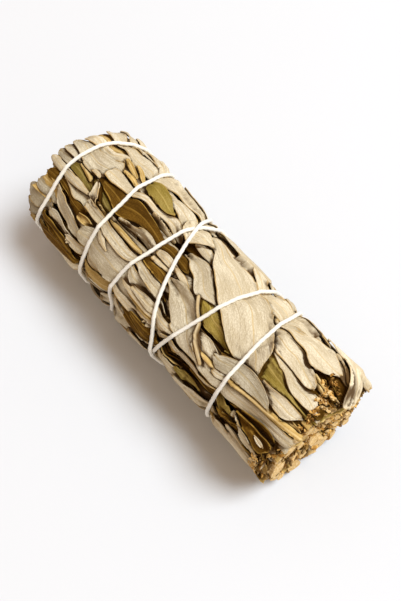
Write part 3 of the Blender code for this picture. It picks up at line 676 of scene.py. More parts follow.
def addCore(number):
    deselect()
    bpy.ops.mesh.primitive_cube_add(size=2)
    obj = bpy.context.object
    bpy.ops.object.mode_set(mode="EDIT")
    bpy.ops.mesh.select_all(action="SELECT")
    bpy.ops.mesh.subdivide(number_cuts=21)
    bpy.ops.object.mode_set(mode="OBJECT")
    place = np.zeros(3 * len(obj.data.vertices))
    obj.data.vertices.foreach_get("co", place)
    x, y, z = place.reshape(-1, 3).T
    along = sprig["coreFar"] + (x + 1) / 2 * (sprig["coreNear"] - sprig["coreFar"])
    around = acrossSprig(number, along, (1 - y) / 2)    # the cube's top turns outward
    cell = pileCell(along, around)
    outer = bundleRadius(bundle["coreRadius"], along, around) - dentsWide[cell] + 0.3 * np.sin(0.5 * around) * np.sin(0.6 * along) - 0.3
    radius = sprig["heart"] + (z + 1) / 2 * (outer - sprig["heart"])
    points = (spot(along, around, radius) + bundle["axis"]) * mm
    obj.data.vertices.foreach_set("co", points.ravel())
    obj.data.materials.append(finishes["packedLeaf"])
    activate(obj)
    bpy.ops.object.mode_set(mode="EDIT")
    bpy.ops.mesh.select_all(action="SELECT")
    bpy.ops.mesh.normals_make_consistent(inside=False)
    bpy.ops.object.mode_set(mode="OBJECT")
    return obj


rng = random.Random(sprig["seed"])
for number in range(1, sprig["count"] + 1):
    keep(solids, f"sprig_{number}", addCore(number))


def packLeaves(number, count, length, width, looks, blankName, **extras):
    for i in range(count):
        start = -51 + 94 * (i + rng.uniform(0, 1)) / count
        around = float(acrossSprig(number, start, rng.uniform(0, 1)))
        end = min(start + rng.uniform(*length), nearEnd(around) + rng.uniform(-1.5, 1))
        if end - start < 7:
            start = end - 9
        line, halves = plainLeaf((round(start, 2), round(around, 1)), (round(end, 2), round(around + rng.uniform(-14, 14), 1)),
                                 rng.uniform(*width), rng.choice(("lance", "strap", "blade", "blade")), rng.uniform(-0.5, 0.5))
        finish = rng.choice(packedFinishes)
        keep(sheets, f"sprig_{number}", layLeaf(finish, line, halves, rng.choice(looks), blankName, **extras))


for number in range(1, sprig["count"] + 1):
    packLeaves(number, sprig["underLeaves"], (14, 24), (3.0, 6.0), ("easy", "domed", "stalk", "cupped"), "under",
               tint=(-1.0, 0.2), age=(0.2, 1.0))
for number in range(1, sprig["count"] + 1):
    packLeaves(number, sprig["fillLeaves"], (17, 30), (2.2, 5.4),
               ("easy", "rolled", "rolledLow", "tucked", "folded", "foldedLow", "stalk"), "fill")
print("sprigs are packed")
for number, leaves in lowerLeaves.items():
    for i, (base, tip, width) in enumerate(leaves):
        line, halves = plainLeaf(base, tip, width, "lance")
        look = ("easy", "rolled", "tucked", "rolledLow")[(i + number) % 4]
        keep(sheets, f"sprig_{number}", layLeaf("paleLeaf", line, halves, look, "slim"))
print("rooted leaves are laid")

# ---------- the leaves on top, in the order that they lie: CAD node or sprig, finish, centre line, half widths, look
# the brightness each row sets is partly the leaf's own tone and partly painted light and shade, set for where the key
# light falls
coverLeaves = [
    # the leafy far end
    ("sprig_2", "paleLeaf", [(-52.0, 60, -52.3, 88), (-49, 59, -49, 90), (-45, 60, -45, 88)], None, "easy", {"tint": -1.2, "age": 0.4}),
    ("sprig_3", "paleLeaf", [(-52.0, 87, -50.8, 115), (-48, 86, -48, 116), (-44, 88, -44, 114)], None, "easy", {"tint": -0.9, "age": 0.4}),
    ("sprig_4", "paleLeaf", [(-50.0, 113, -49.2, 139), (-47, 112, -47, 140), (-43, 114, -43, 138)], None, "easy", {"tint": -0.8, "age": 0.4}),
    ("sprig_8", "strawLeaf", [(-49.6, -5, -49.9, 5), (-47, -6, -47, 8), (-44, -5, -44, 8)], None, "easy", {"tint": -1.4, "age": 0.6}),
    ("sprig_1", "paleLeaf", [(-52.2, 8, -52.4, 16), (-50, 6, -50, 19), (-47, 8, -47, 20), (-43, 10, -43, 19)], None, "easy",
     {"tint": -1.8, "age": 0.3}),
    ("sprig_1", "paleLeaf", [(-52.8, 24, -52.7, 33), (-50.5, 20, -50.5, 37), (-48, 20, -48, 38), (-45, 21, -45, 37), (-42, 24, -42, 33)],
     None, "easy", {"tint": -1.4, "age": 0.4}),
    ("pale_leaf_02", "paleLeaf", [(-50.9, 37, -50.5, 47), (-48.5, 36, -48.5, 50), (-45, 37, -45, 49), (-42, 36, -42, 45)], None, "easy",
     {"tint": -1.6, "age": 0.5}),
    ("sprig_1", "brownLeaf", [(-50.2, 51, -49.9, 57), (-48, 50, -48, 62), (-45, 51, -45, 61), (-42, 52, -42, 58)], None, "easy",
     {"tint": 0.2, "age": 0.2}),
    ("sprig_2", "paleLeaf", [(-52.4, 71, -52.6, 80), (-49.5, 70.5, -49.5, 83), (-46, 71.5, -46, 83), (-43, 74, -43, 81)], None, "easy",
     {"tint": -1.3, "age": 0.6}),
    ("sprig_2", "paleLeaf", [(-52.6, 80.5, -52.3, 91), (-49.5, 79.5, -49.5, 94), (-46.5, 80, -46.5, 94), (-43, 82, -43, 92)], None, "easy",
     {"tint": -0.6, "age": 0.3, "rimLow": 0.2}),
    ("sprig_1", "paleLeaf", [(-43, 28, -42.5, 31), (-41.5, 25, -41.2, 33.3), (-40, 22, -38.5, 31), (-37.5, 20.4, -35.7, 28.4),
                             (-33, 18, -31.5, 24), (-29, 18, -28.5, 20)], None, "easy", {"tint": -0.7, "age": 0.4}),
    ("sprig_1", "brownLeaf", [(-46, 55, -46, 60), (-43.5, 54, -43.5, 61), (-41, 53, -41.5, 59), (-38.5, 50, -38.5, 55.5), (-36.5, 47.5, -36, 56.5),
                              (-34, 45, -34, 56.5), (-32, 44, -32, 54)], None, "easy", {"tint": 0.2, "age": 0.5}),
    ("sprig_1", "strawLeaf", [(-34, 47, -34, 51.5), (-32.7, 45.9, -32.5, 53), (-30.5, 45.2, -30.5, 53), (-29, 46, -29, 51.6)], None, "cupped",
     {"tint": -0.2, "age": 0.6}),
    ("pale_leaf_03", "paleLeaf", [(-45, 49, -45, 54), (-44.2, 48.2, -43.3, 53.3), (-42.7, 43.5, -42, 52.5), (-40.9, 37.4, -40, 51.5),
                                  (-39.3, 34.4, -38.6, 49), (-36.4, 31.7, -36.5, 45.9), (-34.7, 29, -34.5, 42.3), (-32, 28.5, -32, 38),
                                  (-29, 31, -29, 34)], None, "easy", {"tint": -0.5, "age": 0.1, "rimHigh": 0.3, "folds": 2}),
    ("olive_leaf_1", "oliveLeaf", [(-38, 79, -38, 82), (-34, 73, -34, 80), (-31, 68.5, -31, 78), (-28, 66.5, -28, 75), (-26, 67, -26, 72)],
     None, "easy", {"tint": -1.6, "age": 0.4}),
    ("pale_leaf_04", "paleLeaf", [(-44.4, 61.6, -44.5, 66), (-42.1, 60.5, -42.3, 66), (-40.4, 58.3, -40.5, 66), (-39.1, 56.4, -39, 66.5),
                                  (-37.8, 55.7, -37, 67.5), (-36.2, 57.2, -35.3, 67.9), (-34.7, 57.1, -34.3, 63.6), (-33.1, 55.6, -33.1, 61),
                                  (-31.1, 57, -31.3, 58.5)], None, "easy", {"tint": -0.4, "age": 0.1, "folds": 3, "foldDepth": 0.3}),
    ("sprig_2", "oliveLeaf", [(-46, 72, -46, 77), (-44.2, 71.2, -43.6, 79.5), (-41.5, 70.5, -41, 79.4), (-39, 70, -38.9, 77.3),
                              (-36.9, 69.5, -37, 74.7), (-35, 69, -35.5, 72)], None, "rolled", {"tint": -1.4, "age": 0.4}),
    ("sprig_2", "strawLeaf", [(-43, 80.5), (-41, 80), (-39, 78), (-37.8, 76.5)], [0.3, 0.5, 0.5, 0.3], "stalk", {"tint": -0.1, "age": 0.2}),
    ("pale_leaf_06", "paleLeaf", [(-52.6, 65.5, -52.4, 68.5), (-51.4, 63.7, -51.1, 70.2), (-49.7, 63.3, -49, 70.5), (-47.3, 63.3, -46.3, 70.2),
                                  (-44.9, 63.2, -44.2, 70.6), (-42, 63.5, -42, 70.6), (-40, 64, -40, 70.4), (-37.5, 65.5, -36.75, 69.2),
                                  (-35.2, 67, -34.9, 68.8)], None, "domed", {"tint": -0.2, "age": 0.1}),
    ("brown_leaf_1", "brownLeaf", [(-37, 83, -37, 86), (-33.2, 79.4, -33.5, 89), (-29.9, 77.3, -30, 91), (-26.2, 73, -26.4, 94.2),
                                   (-22.5, 76.3, -23.5, 96.2), (-19.9, 80.6, -20.5, 94.8), (-16.3, 81.4, -17, 92.8), (-12.4, 80.5, -11.7, 89.5),
                                   (-8.4, 80.5, -8, 92), (-5.9, 80.6, -5.7, 93.5), (-4, 81.5, -2.8, 90), (-1.5, 83, -1.2, 85)], None, "easy",
     {"rimLow": 0.35, "folds": 4, "foldDepth": 0.25, "tint": 0.0, "age": 0.3}),
    ("sprig_3", "strawLeaf", [(-50.4, 109, -50.2, 122), (-47, 107, -47, 123), (-44.5, 108, -44.5, 121), (-42, 112, -42, 123), (-40, 116, -40, 124.5), (-38.8, 119, -38.6, 123)], None, "easy",
     {"tint": -0.2, "age": 0.3}),
    ("pale_leaf_07", "paleLeaf", [(-52.2, 91, -51.4, 102), (-49.5, 88.5, -49, 103.5), (-46.5, 86.5, -46, 103.5), (-44.4, 84.2, -43.7, 102.6), (-41.5, 81.3, -41, 104), (-39.2, 81.9, -38.3, 105.4),
                                  (-37.4, 83.2, -36, 107.5), (-36.5, 85.5, -35, 103), (-36, 90, -34.6, 98)], None, "easy",
     {"crinkle": 0.10, "folds": 4, "foldDepth": 0.3, "age": 0.2, "tint": -0.5}),
    ("sprig_2", "paleLeaf", [(-39.5, 82, -39, 86), (-37.8, 82.2, -37.3, 86), (-36.3, 82, -36.2, 84)], None, "easy", {"tint": 0.0, "age": 0.0}),
    ("sprig_3", "paleLeaf", [(-51.2, 102.5, -50.6, 111), (-47.5, 101.5, -47.2, 112), (-43.5, 103.5, -43, 110), (-41.7, 105, -41.1, 110.8), (-39.8, 106.3, -39.5, 115.5), (-38.5, 107.4, -38.2, 117),
                             (-37, 108.5, -36.8, 115.5), (-35.8, 109.5, -35.7, 112)], None, "domed", {"tint": 0.4, "age": 0.0}),
    ("pale_leaf_09", "paleLeaf", [(-49.9, 121, -50, 139), (-47, 119, -47, 139), (-43.5, 121, -43.5, 134), (-41, 122, -40.5, 134), (-38.4, 120.3, -37.6, 133.4), (-35.3, 118.8, -35.1, 136),
                                  (-33.2, 119.5, -32.7, 135), (-31.5, 120.8, -31, 134), (-29, 122, -29, 131)], None, "easy",
     {"tint": -0.1, "age": 0.1, "rimLow": 0.25}),
    ("sprig_4", "paleLeaf", [(-49.4, 138, -49, 150), (-46, 137, -46, 151), (-43, 136, -43, 149), (-40, 136, -40, 149), (-37.5, 135, -37, 148), (-35, 137, -35, 144), (-32.5, 136, -33, 139.5)],
     None, "easy", {"tint": 0.1, "age": 0.2}),
    ("sprig_4", "paleLeaf", [(-46, 150, -46, 162), (-41, 151.5, -41, 164), (-37.5, 149.5, -38, 165), (-34, 142, -34, 165), (-31, 137, -30.5, 163),
                             (-28, 136, -28, 160)], None, "easy", {"tint": 0.3, "age": 0.1}),
    ("sprig_1", "brownLeaf", [(-46.5, 9), (-41, 8), (-35, 9), (-28, 10)], [0.8, 1.8, 1.8, 0.8], "rolled", {}),
    ("sprig_1", "brownLeaf", [(-45, 22), (-38, 18), (-31, 15)], [0.8, 1.4, 0.6], "crumpled", {}),
    ("sprig_1", "paleLeaf", [(-34, 24), (-29, 23), (-23, 21)], [0.9, 1.4, 0.4], "rolled", {}),
    ("sprig_3", "strawLeaf", [(-37.5, 113), (-34, 111), (-31, 108.5)], [0.5, 0.8, 0.4], "rolled", {}),
    ("sprig_3", "strawLeaf", [(-34.5, 117), (-31, 114.5), (-29, 113)], [0.4, 0.7, 0.3], "rolledLow", {}),
    # above the second turn of the string
    ("sprig_2", "strawLeaf", [(-32, 68.5), (-30.5, 67), (-29.2, 65.3), (-28.4, 63)], [0.25, 0.3, 0.3, 0.25], "stalk", {"tint": 0.2, "age": 0.1}),
    ("sprig_2", "strawLeaf", [(-31, 62), (-29.8, 63), (-28.5, 62.5)], [0.4, 0.6, 0.4], "domed", {"tint": 0.3, "age": 0.0}),
    ("sprig_2", "paleLeaf", [(-36.3, 81, -35.9, 81.3), (-35.8, 76.5, -34.6, 79.5), (-35.3, 72.2, -33.9, 76.8), (-34.6, 66.4, -32.7, 72.2),
                             (-33.5, 62.1, -32, 68.4), (-32.1, 60, -31.1, 64.2), (-31.3, 60.5, -31, 62.5)], None, "cupped",
     {"tint": 0.1, "age": 0.1, "lift": 0.3}),
    ("pale_leaf_11", "paleLeaf", [(-30.5, 122, -30.5, 150), (-27.5, 123, -27.5, 153), (-25.1, 127, -25, 154), (-23.2, 133, -22.5, 154),
                                  (-20, 135.6, -19.5, 154), (-16.8, 139, -16, 154), (-12, 141, -11.5, 152), (-8, 142, -8, 150)], None, "easy",
     {"rimHigh": 0.3, "tint": 0.2, "age": 0.1, "clear": 92}),
    ("sprig_4", "paleLeaf", [(-26, 155, -26, 165), (-16, 154, -16, 166), (-8, 151, -8, 164), (-3, 150, -3, 160)], None, "easy", {"tint": 0.1}),
    ("pale_leaf_10", "paleLeaf", [(-22, 120.5, -22.3, 123), (-20, 118.5, -20.1, 127.5), (-18.6, 117.3, -17.9, 129.4), (-16.6, 114, -15.5, 130),
                                  (-14.1, 110, -12.5, 129), (-11.7, 106.3, -10, 126), (-9, 104, -7.5, 122), (-7, 105, -6, 116)], None, "easy",
     {"tint": 0.0, "age": 0.0, "clear": 92}),
    ("sprig_4", "strawLeaf", [(-18.2, 134), (-16, 135.5), (-13.5, 135.5)], [0.25, 0.35, 0.25], "stalk", {"tint": 0.1}),
    ("pale_leaf_08", "paleLeaf", [(-37, 88, -37, 98), (-34, 88.5, -34.1, 100.8), (-31, 90.5, -31.1, 100), (-28.2, 92.6, -28.6, 100.4),
                                  (-26, 95.2, -26.5, 102), (-24.3, 97.8, -24.5, 103.8), (-21.9, 98, -21.5, 103.4), (-19.8, 97, -19.5, 104),
                                  (-16.6, 99, -17, 106), (-13.8, 99, -14.5, 108), (-11.6, 99, -11.7, 106.5), (-9.5, 99.5, -9.5, 103)], None,
     "easy", {"tint": 0.1, "age": 0.0, "folds": 3, "clear": 88}),
    ("sprig_3", "paleLeaf", [(-19.5, 96.3), (-16, 96.8), (-13, 97), (-11, 97.5)], [0.25, 0.4, 0.4, 0.25], "stalk", {"tint": 0.2, "age": 0.0}),
    ("sprig_3", "oliveLeaf", [(-28.5, 112, -28.8, 123), (-25, 105.7, -25.5, 125), (-22, 105.3, -22.5, 122.3), (-19.5, 104.3, -19.9, 117.8),
                              (-17.3, 105.3, -17.9, 113.3), (-16, 108, -16.1, 109.5)], None, "easy", {"tint": 0.2, "age": 0.3}),
    ("sprig_2", "paleLeaf", [(-28, 64, -28, 69.5), (-26, 63.2, -25.8, 70.2), (-21.8, 63.2, -21.5, 71), (-18, 64.2, -17.8, 71.5),
                             (-14, 65.2, -13.5, 72), (-11, 67, -11, 71.5)], None, "easy", {"tint": 0.0, "age": 0.0}),
    ("sprig_2", "strawLeaf", [(-27, 65), (-22, 65.2), (-18, 65.8), (-13.5, 67)], [0.35, 0.6, 0.6, 0.3], "stalk", {"tint": -0.4, "age": 0.4}),
    ("sprig_2", "paleLeaf", [(-24, 71.5, -24, 75), (-21.5, 73, -22, 76.5), (-19.4, 73.7, -19.7, 77.7), (-17.5, 73.7, -17.8, 80.8),
                             (-15.5, 73.4, -15.8, 81.8), (-13, 72.7, -13.5, 81.3), (-10.5, 73.5, -10.5, 79)], None, "easy",
     {"tint": -0.5, "age": 0.2, "folds": 2}),
    ("sprig_3", "strawLeaf", [(-34.5, 103), (-31, 103.5), (-27.5, 102.5)], [0.4, 0.8, 0.4], "rolled", {}),
    # the broad low leaf and its neighbours
    ("sprig_1", "brownLeaf", [(-26, 21), (-22, 20), (-18, 18)], [0.6, 1.2, 0.4], "easy", {"tint": -0.5}),
    ("brown_leaf_2", "strawLeaf", [(-28, 16), (-23, 13.5), (-18, 12.5), (-13, 14)], [0.8, 1.8, 1.8, 0.6], "domed", {"age": 0.8}),
    ("sprig_1", "paleLeaf", [(-27, 25.5), (-22, 25), (-17.5, 25)], [0.5, 0.8, 0.3], "rolledLow", {}),
    ("sprig_1", "paleLeaf", [(-31, 39), (-26, 41), (-20, 42), (-15, 41), (-10, 37), (-5, 33), (0, 30.5)],
     [2.0, 3.4, 4.0, 3.9, 2.6, 1.6, 0.4], "easy", {"arch": 0.0, "flat": 0.3, "age": 0.15, "tint": -0.7, "crinkle": 0.05}),
    ("sprig_1", "paleLeaf", [(-28.5, 56), (-25, 52), (-21, 47)], [0.8, 1.1, 0.2], "domed", {"tint": 0.5, "age": 0.0}),
    ("sprig_1", "strawLeaf", [(-14, 24), (-9, 22), (-5, 19.5), (-2.5, 18)], [0.5, 0.9, 0.8, 0.3], "rolled", {"tint": 0.2}),
    ("sprig_1", "paleLeaf", [(-15, 27.5), (-8, 26.5), (-1, 25)], [0.6, 1.1, 0.5], "easy", {}),
    ("pale_leaf_25", "paleLeaf", [(-15, 5), (-8, 7.5), (-3, 8), (4, 5.5)], [0.8, 1.8, 1.7, 0.5], "rolledLow", {"age": 0.2}),
    ("sprig_1", "brownLeaf", [(-9, 18), (-4, 15.5), (2, 12.5)], [0.8, 1.4, 0.5], "easy", {"tint": -0.2}),
    ("sprig_1", "brownLeaf", [(-6, 24), (0, 20.5), (5, 18.5)], [0.6, 1.6, 1.0], "folded", {"tint": 0.1}),
    ("pale_leaf_01", "paleLeaf", [(-13, 48.5, -13, 56), (-10.5, 44.5, -10.5, 55), (-9.1, 42.1, -8.8, 54.5), (-6, 38.4, -5.4, 52.5),
                                  (-3.5, 38.1, -2.9, 51), (-0.4, 40.3, -1, 49.5), (2, 41.5, 2, 46)], None, "easy",
     {"tint": -0.5, "age": 0.1, "folds": 2}),
    ("pale_leaf_05", "paleLeaf", [(-34, 58, -34, 66), (-30, 56, -30, 65), (-26, 55, -26, 63), (-20, 53.5, -20, 62.5), (-15, 54.5, -15, 62.5),
                                  (-11.8, 58.2, -11.3, 63), (-8.8, 55.6, -9, 63), (-5.4, 53, -6.4, 61.8), (-2.9, 51.7, -4.1, 61.8),
                                  (-1.4, 50.4, -3.1, 60)], None, "easy", {"rimLow": 0.35, "tint": -0.4, "age": 0.1, "folds": 2}),
    ("sprig_1", "strawLeaf", [(-10.2, 39.5), (-9.3, 40.3), (-8.4, 40)], [0.25, 0.4, 0.25], "domed", {"tint": 0.2, "age": 0.0}),
    ("sprig_2", "brownLeaf", [(-12.5, 64, -12, 69.5), (-9.2, 63, -9.4, 73), (-6, 62, -7, 74.5), (-4.3, 61.5, -4.9, 72), (-2.8, 62, -3, 65)],
     None, "easy", {"tint": 0.5, "folds": 3, "age": 0.4}),
    ("sprig_2", "paleLeaf", [(-11, 71.5), (-8, 73), (-4, 74.5)], [0.4, 0.6, 0.3], "domed", {"tint": 0.4}),
    ("sprig_2", "paleLeaf", [(-11, 78), (-7, 79), (-3, 79.5)], [0.6, 1.1, 0.6], "rolled", {"tint": 0.2}),
    # the fan of narrow leaves
    ("sprig_1", "paleLeaf", [(-5, 31), (1, 28.5), (7, 27.5)], [0.5, 1.0, 0.5], "easy", {"age": 0.8}),
    ("sprig_1", "strawLeaf", [(-10, 37), (-4, 35), (2, 33.5), (9, 33.5)], [0.4, 0.8, 0.8, 0.3], "rolled", {"tint": 0.2}),
    ("sprig_1", "paleLeaf", [(-12, 41), (-6, 39), (0, 37), (6, 36.5), (11, 36)], [0.4, 0.9, 0.9, 0.8, 0.3], "easy", {"rimLow": 0.3}),
    ("sprig_1", "paleLeaf", [(-9, 43.5), (-4, 43), (1, 41.5), (7, 40), (12, 39)], [0.4, 1.0, 1.0, 0.9, 0.3], "easy", {"rimLow": 0.35, "tint": 0.0}),
    # between the crossing and the next turn
    ("sprig_3", "paleLeaf", [(-7, 109), (-2, 108.5), (2, 108)], [1.2, 1.4, 0.3], "easy", {"tint": -0.6}),
    ("sprig_2", "oliveLeaf", [(3, 82, 5, 89), (7.5, 73, 9, 88), (10.2, 64, 12, 86), (14.5, 64, 15, 83), (17.5, 64, 18.5, 75),
                              (20, 62.5, 21, 70), (22, 64, 22.5, 66.5)], None, "easy", {"tint": 1.4, "age": 0.3, "rimLow": 0.4}),
    ("pale_leaf_12", "paleLeaf", [(-6.6, 95, -6.2, 99.5), (-3.9, 92, -3, 101), (-1.6, 86.5, 0.5, 101.5), (0.3, 85, 2.4, 99.5),
                                  (2.3, 80, 4.5, 95), (4.4, 76.5, 6.8, 90.5), (6, 78, 8.5, 87.5), (9.8, 82.5, 10.3, 84.5)],
     None, "easy", {"tint": -0.5, "age": 0.0, "folds": 2, "clear": 90}),
    ("sprig_2", "paleLeaf", [(-4.2, 79), (-0.8, 78), (2.3, 75.5)], [0.4, 0.8, 0.2], "easy", {"tint": 0.5, "age": 0.0}),
    ("pale_leaf_16", "paleLeaf", [(12, 50, 11.5, 59), (14, 45, 15, 61.5), (16, 40, 18.5, 58.5), (18, 37.5, 21, 54), (21, 37.5, 23.5, 51.5),
                                  (26, 36, 28, 51), (30, 38, 32, 52), (35, 40.5, 36.5, 53), (41, 43.5, 42, 55), (46.5, 46.5, 47, 57)],
     None, "easy", {"tint": -0.3, "age": 0.05, "flat": 0.2, "crinkle": 0.03, "clear": 92}),
    ("sprig_1", "strawLeaf", [(13.2, 50.5), (14.6, 48.7), (18, 48.9), (21.4, 48.8)], [0.35, 0.4, 0.4, 0.4], "stalk", {"tint": 0.7, "age": 0.0}),
    ("pale_leaf_13", "paleLeaf", [(-4, 68.5, -3.6, 72), (-1.4, 63.5, -0.6, 75), (1, 55, 2.2, 75.5), (3.5, 48.5, 5.7, 72), (6, 42, 8, 65),
                                  (9, 39, 10.6, 57), (12, 39, 12.6, 51.5), (14.5, 39.7, 15.1, 46), (17.2, 41.5, 17.6, 42.5)],
     None, "easy", {"tint": -0.5, "age": 0.05, "middle": 0.1}),
    ("sprig_1", "paleLeaf", [(5.6, 77.5), (7.1, 71.5), (8.3, 67), (10, 61.7), (12.2, 54.5), (14.7, 48.8), (17.8, 43)],
     [0.25, 0.3, 0.28, 0.3, 0.32, 0.3, 0.2], "stalk", {"tint": 0.2, "age": 0.0}),
    ("sprig_4", "paleLeaf", [(-9, 153), (0, 150), (11, 147)], [2.0, 2.3, 1.2], "easy", {}),
    ("sprig_4", "paleLeaf", [(16, 148, 16, 166), (26, 148, 26, 168), (36, 150, 36, 168), (44, 152, 44, 166)], None, "easy", {"tint": 0.0}),
    ("pale_leaf_14", "paleLeaf", [(-8, 124, -8, 141), (-3, 123, -3.5, 142), (1, 121, 0, 142), (5, 121, 3, 144), (8, 121, 8, 142),
                                  (11.5, 120, 11, 134)], None, "easy", {"tint": 0.3, "age": 0.1, "folds": 2}),
    ("sprig_3", "paleLeaf", [(13.5, 124.5), (18.5, 122.8), (22.5, 120.5)], [0.35, 0.5, 0.35], "stalk", {"tint": 0.5, "age": 0.0}),
    ("pale_leaf_15", "paleLeaf", [(6, 142), (13, 134.5), (19, 135), (25, 139), (32, 142)], [0.8, 2.7, 3.3, 3.2, 1.6], "easy", {"tint": 0.4, "age": 0.0, "rimLow": 0.3}),
    ("sprig_3", "paleLeaf", [(14, 119), (19, 121.5), (24, 123), (30, 126), (36, 134)], [0.5, 1.1, 1.2, 1.3, 0.5], "easy", {"tint": 0.2}),
    # toward the cut end
    ("sprig_2", "oliveLeaf", [(25, 74, 26, 95), (29, 68.5, 28.5, 91), (32, 69, 31.5, 87.5), (34.7, 72, 34, 84.3), (37.5, 74, 37, 81.5),
                              (40, 74.5, 39.7, 78.7), (43.5, 75.5, 43.5, 78), (46.5, 76, 46.5, 78)], None, "easy",
     {"tint": 0.4, "age": 0.3, "middle": 0.2}),
    ("pale_leaf_17", "paleLeaf", [(31, 63, 31, 71), (34, 62.5, 34, 71.5), (36.5, 62.5, 36.5, 73), (39.3, 62, 39, 74.3), (41.3, 62.5, 42, 74.5),
                                  (42.4, 64.5, 43.4, 74.5), (43.8, 69.5, 44.4, 73.5)], None, "easy",
     {"tint": 0.1, "age": 0.0, "folds": 3, "foldDepth": 0.25, "clear": 92}),
    ("sprig_3", "brownLeaf", [(37, 99, 37, 108), (40, 99, 40, 111), (43.5, 99, 43, 110), (45.5, 100, 45.5, 106)], None, "folded",
     {"tint": 0.5, "age": 0.2, "clear": 60}),
    ("sprig_3", "strawLeaf", [(36.5, 104), (39, 101.7), (42.5, 99.5), (44.2, 98.7)], [0.25, 0.35, 0.4, 0.35], "stalk", {"tint": 0.6, "age": 0.0}),
    ("sprig_3", "strawLeaf", [(37, 106), (40, 103.5), (43.5, 101.3), (45.5, 100.5)], [0.25, 0.35, 0.4, 0.35], "stalk", {"tint": 0.7, "age": 0.0}),
    ("pale_leaf_18", "paleLeaf",
     [(27.5, 91.5, 27.8, 93.5), (30.8, 87.8, 29.7, 92), (32.7, 86.5, 33.6, 92), (34.5, 84.6, 36.5, 91), (36.7, 81, 38.3, 91.5),
      (38.5, 79.7, 40.2, 92.5), (40.3, 79.3, 41.8, 93.5), (42.6, 79.3, 43.5, 90.5), (44.4, 80.2, 45, 86), (45.8, 81, 46.1, 83)],
     None, "easy", {"tint": 0.2, "age": 0.0, "rimLow": 0.25, "clear": 92}),
    ("pale_leaf_20", "paleLeaf",
     [(23, 103, 22.5, 112), (26, 97.5, 26, 113), (28.5, 92, 29.3, 112), (31.5, 91.8, 32.4, 112), (34.3, 91, 34.5, 109), (36.5, 90.3, 36.5, 105.5),
      (38.1, 90.6, 38.5, 102.5), (39.5, 91.4, 40.2, 99.8), (40.6, 93, 41, 96.8)],
     None, "easy", {"tint": 0.25, "age": 0.0, "clear": 92, "middle": 0.1}),
    ("pale_leaf_19", "paleLeaf",
     [(21, 113, 21, 117), (25.3, 113, 25, 119.5), (29, 111, 28.5, 123.5), (32.4, 111, 31, 130), (34, 108, 33.8, 131.5), (36.4, 104.8, 36.4, 133),
      (38, 107, 38, 130.5), (39.7, 110, 39.5, 127), (41, 114, 41, 123.5), (42.1, 118, 42.1, 120.5)],
     None, "easy", {"tint": 0.35, "age": 0.0, "clear": 92, "ragged": 0.4, "tipLift": 0.5}),
    ("sprig_3", "paleLeaf", [(33.5, 146), (35.5, 140), (38, 135.3), (40, 132), (43, 124.8), (45, 118.5)], [0.3, 0.4, 0.4, 0.4, 0.4, 0.3], "stalk",
     {"tint": 0.3, "age": 0.0}),
    ("pale_leaf_21", "paleLeaf",
     [(-5.5, 120, -6, 134), (-3.5, 118, -3.3, 133), (-1.9, 114, -0.9, 129.5), (0.5, 105, 1.8, 127.5), (1.7, 101.5, 4.5, 129.5),
      (3.7, 97, 7.5, 129.8), (6.1, 92.5, 10, 127.5), (8.1, 89, 13, 124.3), (11, 84.5, 16, 122), (13.5, 80.5, 18.5, 119.5),
      (16.8, 73.5, 21.4, 112.8), (19, 69.5, 24, 106), (21.5, 66.5, 26, 98), (24, 66, 28.1, 90), (27, 67, 29, 78.5), (29.6, 69.5, 29.8, 71.5)],
     None, "easy", {"tint": 0.05, "age": 0.0, "crinkle": 0.025, "rib": 0.1, "arch": 0.0, "flat": 0.4, "folds": 1, "foldDepth": 0.08,
                    "rimLow": 0.15, "rimHigh": 0.15, "middle": 0.12, "clear": 94, "ragged": 0.1}),
    ("sprig_3", "paleLeaf", [(-13, 109, -13, 126), (-10, 103, -10, 125.5), (-8.3, 102, -7, 125), (-6.2, 105.5, -5, 121.5), (-3.6, 114.5, -2.8, 116.5)],
     None, "easy", {"tint": 0.3, "tipLift": 0.4, "age": 0.0}),
    ("sprig_1", "paleLeaf", [(21.3, 46, 21.1, 49.5), (22.5, 45.3, 22.5, 51.5), (24.5, 46.5, 24.5, 53), (26.5, 49, 26.5, 53)], None, "easy",
     {"rimLow": 0.3, "rimHigh": 0.1, "tint": -0.2, "age": 0.2}),
    ("sprig_1", "strawLeaf", [(24.5, 51), (26.6, 51.6), (32, 53.7), (36, 55.2), (41, 57.5), (47.5, 61)], [0.4, 0.5, 0.55, 0.65, 0.75, 0.8], "stalk",
     {"tint": 0.6, "age": 0.0}),
    ("pale_leaf_22", "paleLeaf",
     [(19.1, 54.5, 19.2, 58.5), (20.9, 51.2, 21, 62), (22.3, 51.5, 23.4, 65.8), (24.4, 53, 26, 68.7), (26.2, 54, 28, 70), (28.2, 55.2, 30, 70),
      (30.1, 56.2, 31.8, 69), (32.8, 57.5, 34.4, 66.5), (34.9, 58.4, 36, 64.5), (37.5, 59, 37.7, 60.3)],
     None, "easy", {"tint": -1.3, "age": 0.0, "folds": 2, "lift": 0.3, "clear": 92}),
    ("sprig_4", "paleLeaf", [(20, 158), (32, 162), (46, 167)], [2.6, 4.0, 3.0], "easy", {"tint": 0.4}),
    ("sprig_4", "paleLeaf", [(24, 171), (34, 169), (46.5, 163)], [2.0, 3.2, 2.6], "easy", {"tint": 0.5, "ragged": 0.3}),
    ("pale_leaf_23", "paleLeaf",
     [(31.5, 152, 31, 161), (34, 149.5, 34, 166), (36.5, 143, 36, 169), (39.5, 135.5, 39, 168), (42, 130, 41.5, 163), (43.6, 124, 43.5, 158),
      (45.2, 117, 45.5, 152), (46.8, 110.5, 47, 141), (48, 106.5, 48.3, 128), (49, 105, 49.2, 117)],
     None, "easy", {"lift": 0.5, "tipLift": 1.5, "tilt": -0.3, "tint": 1.2, "age": 0.05, "clear": 99, "ragged": 0.3, "folds": 2, "middle": 0.3}),
    # the low side by the cut end
    ("sprig_1", "paleLeaf", [(5, 12), (9, 9), (13, 5.5), (16.5, 5)], [0.8, 1.4, 1.1, 0.3], "rolledLow", {"tint": 0.1, "lift": 0.4}),
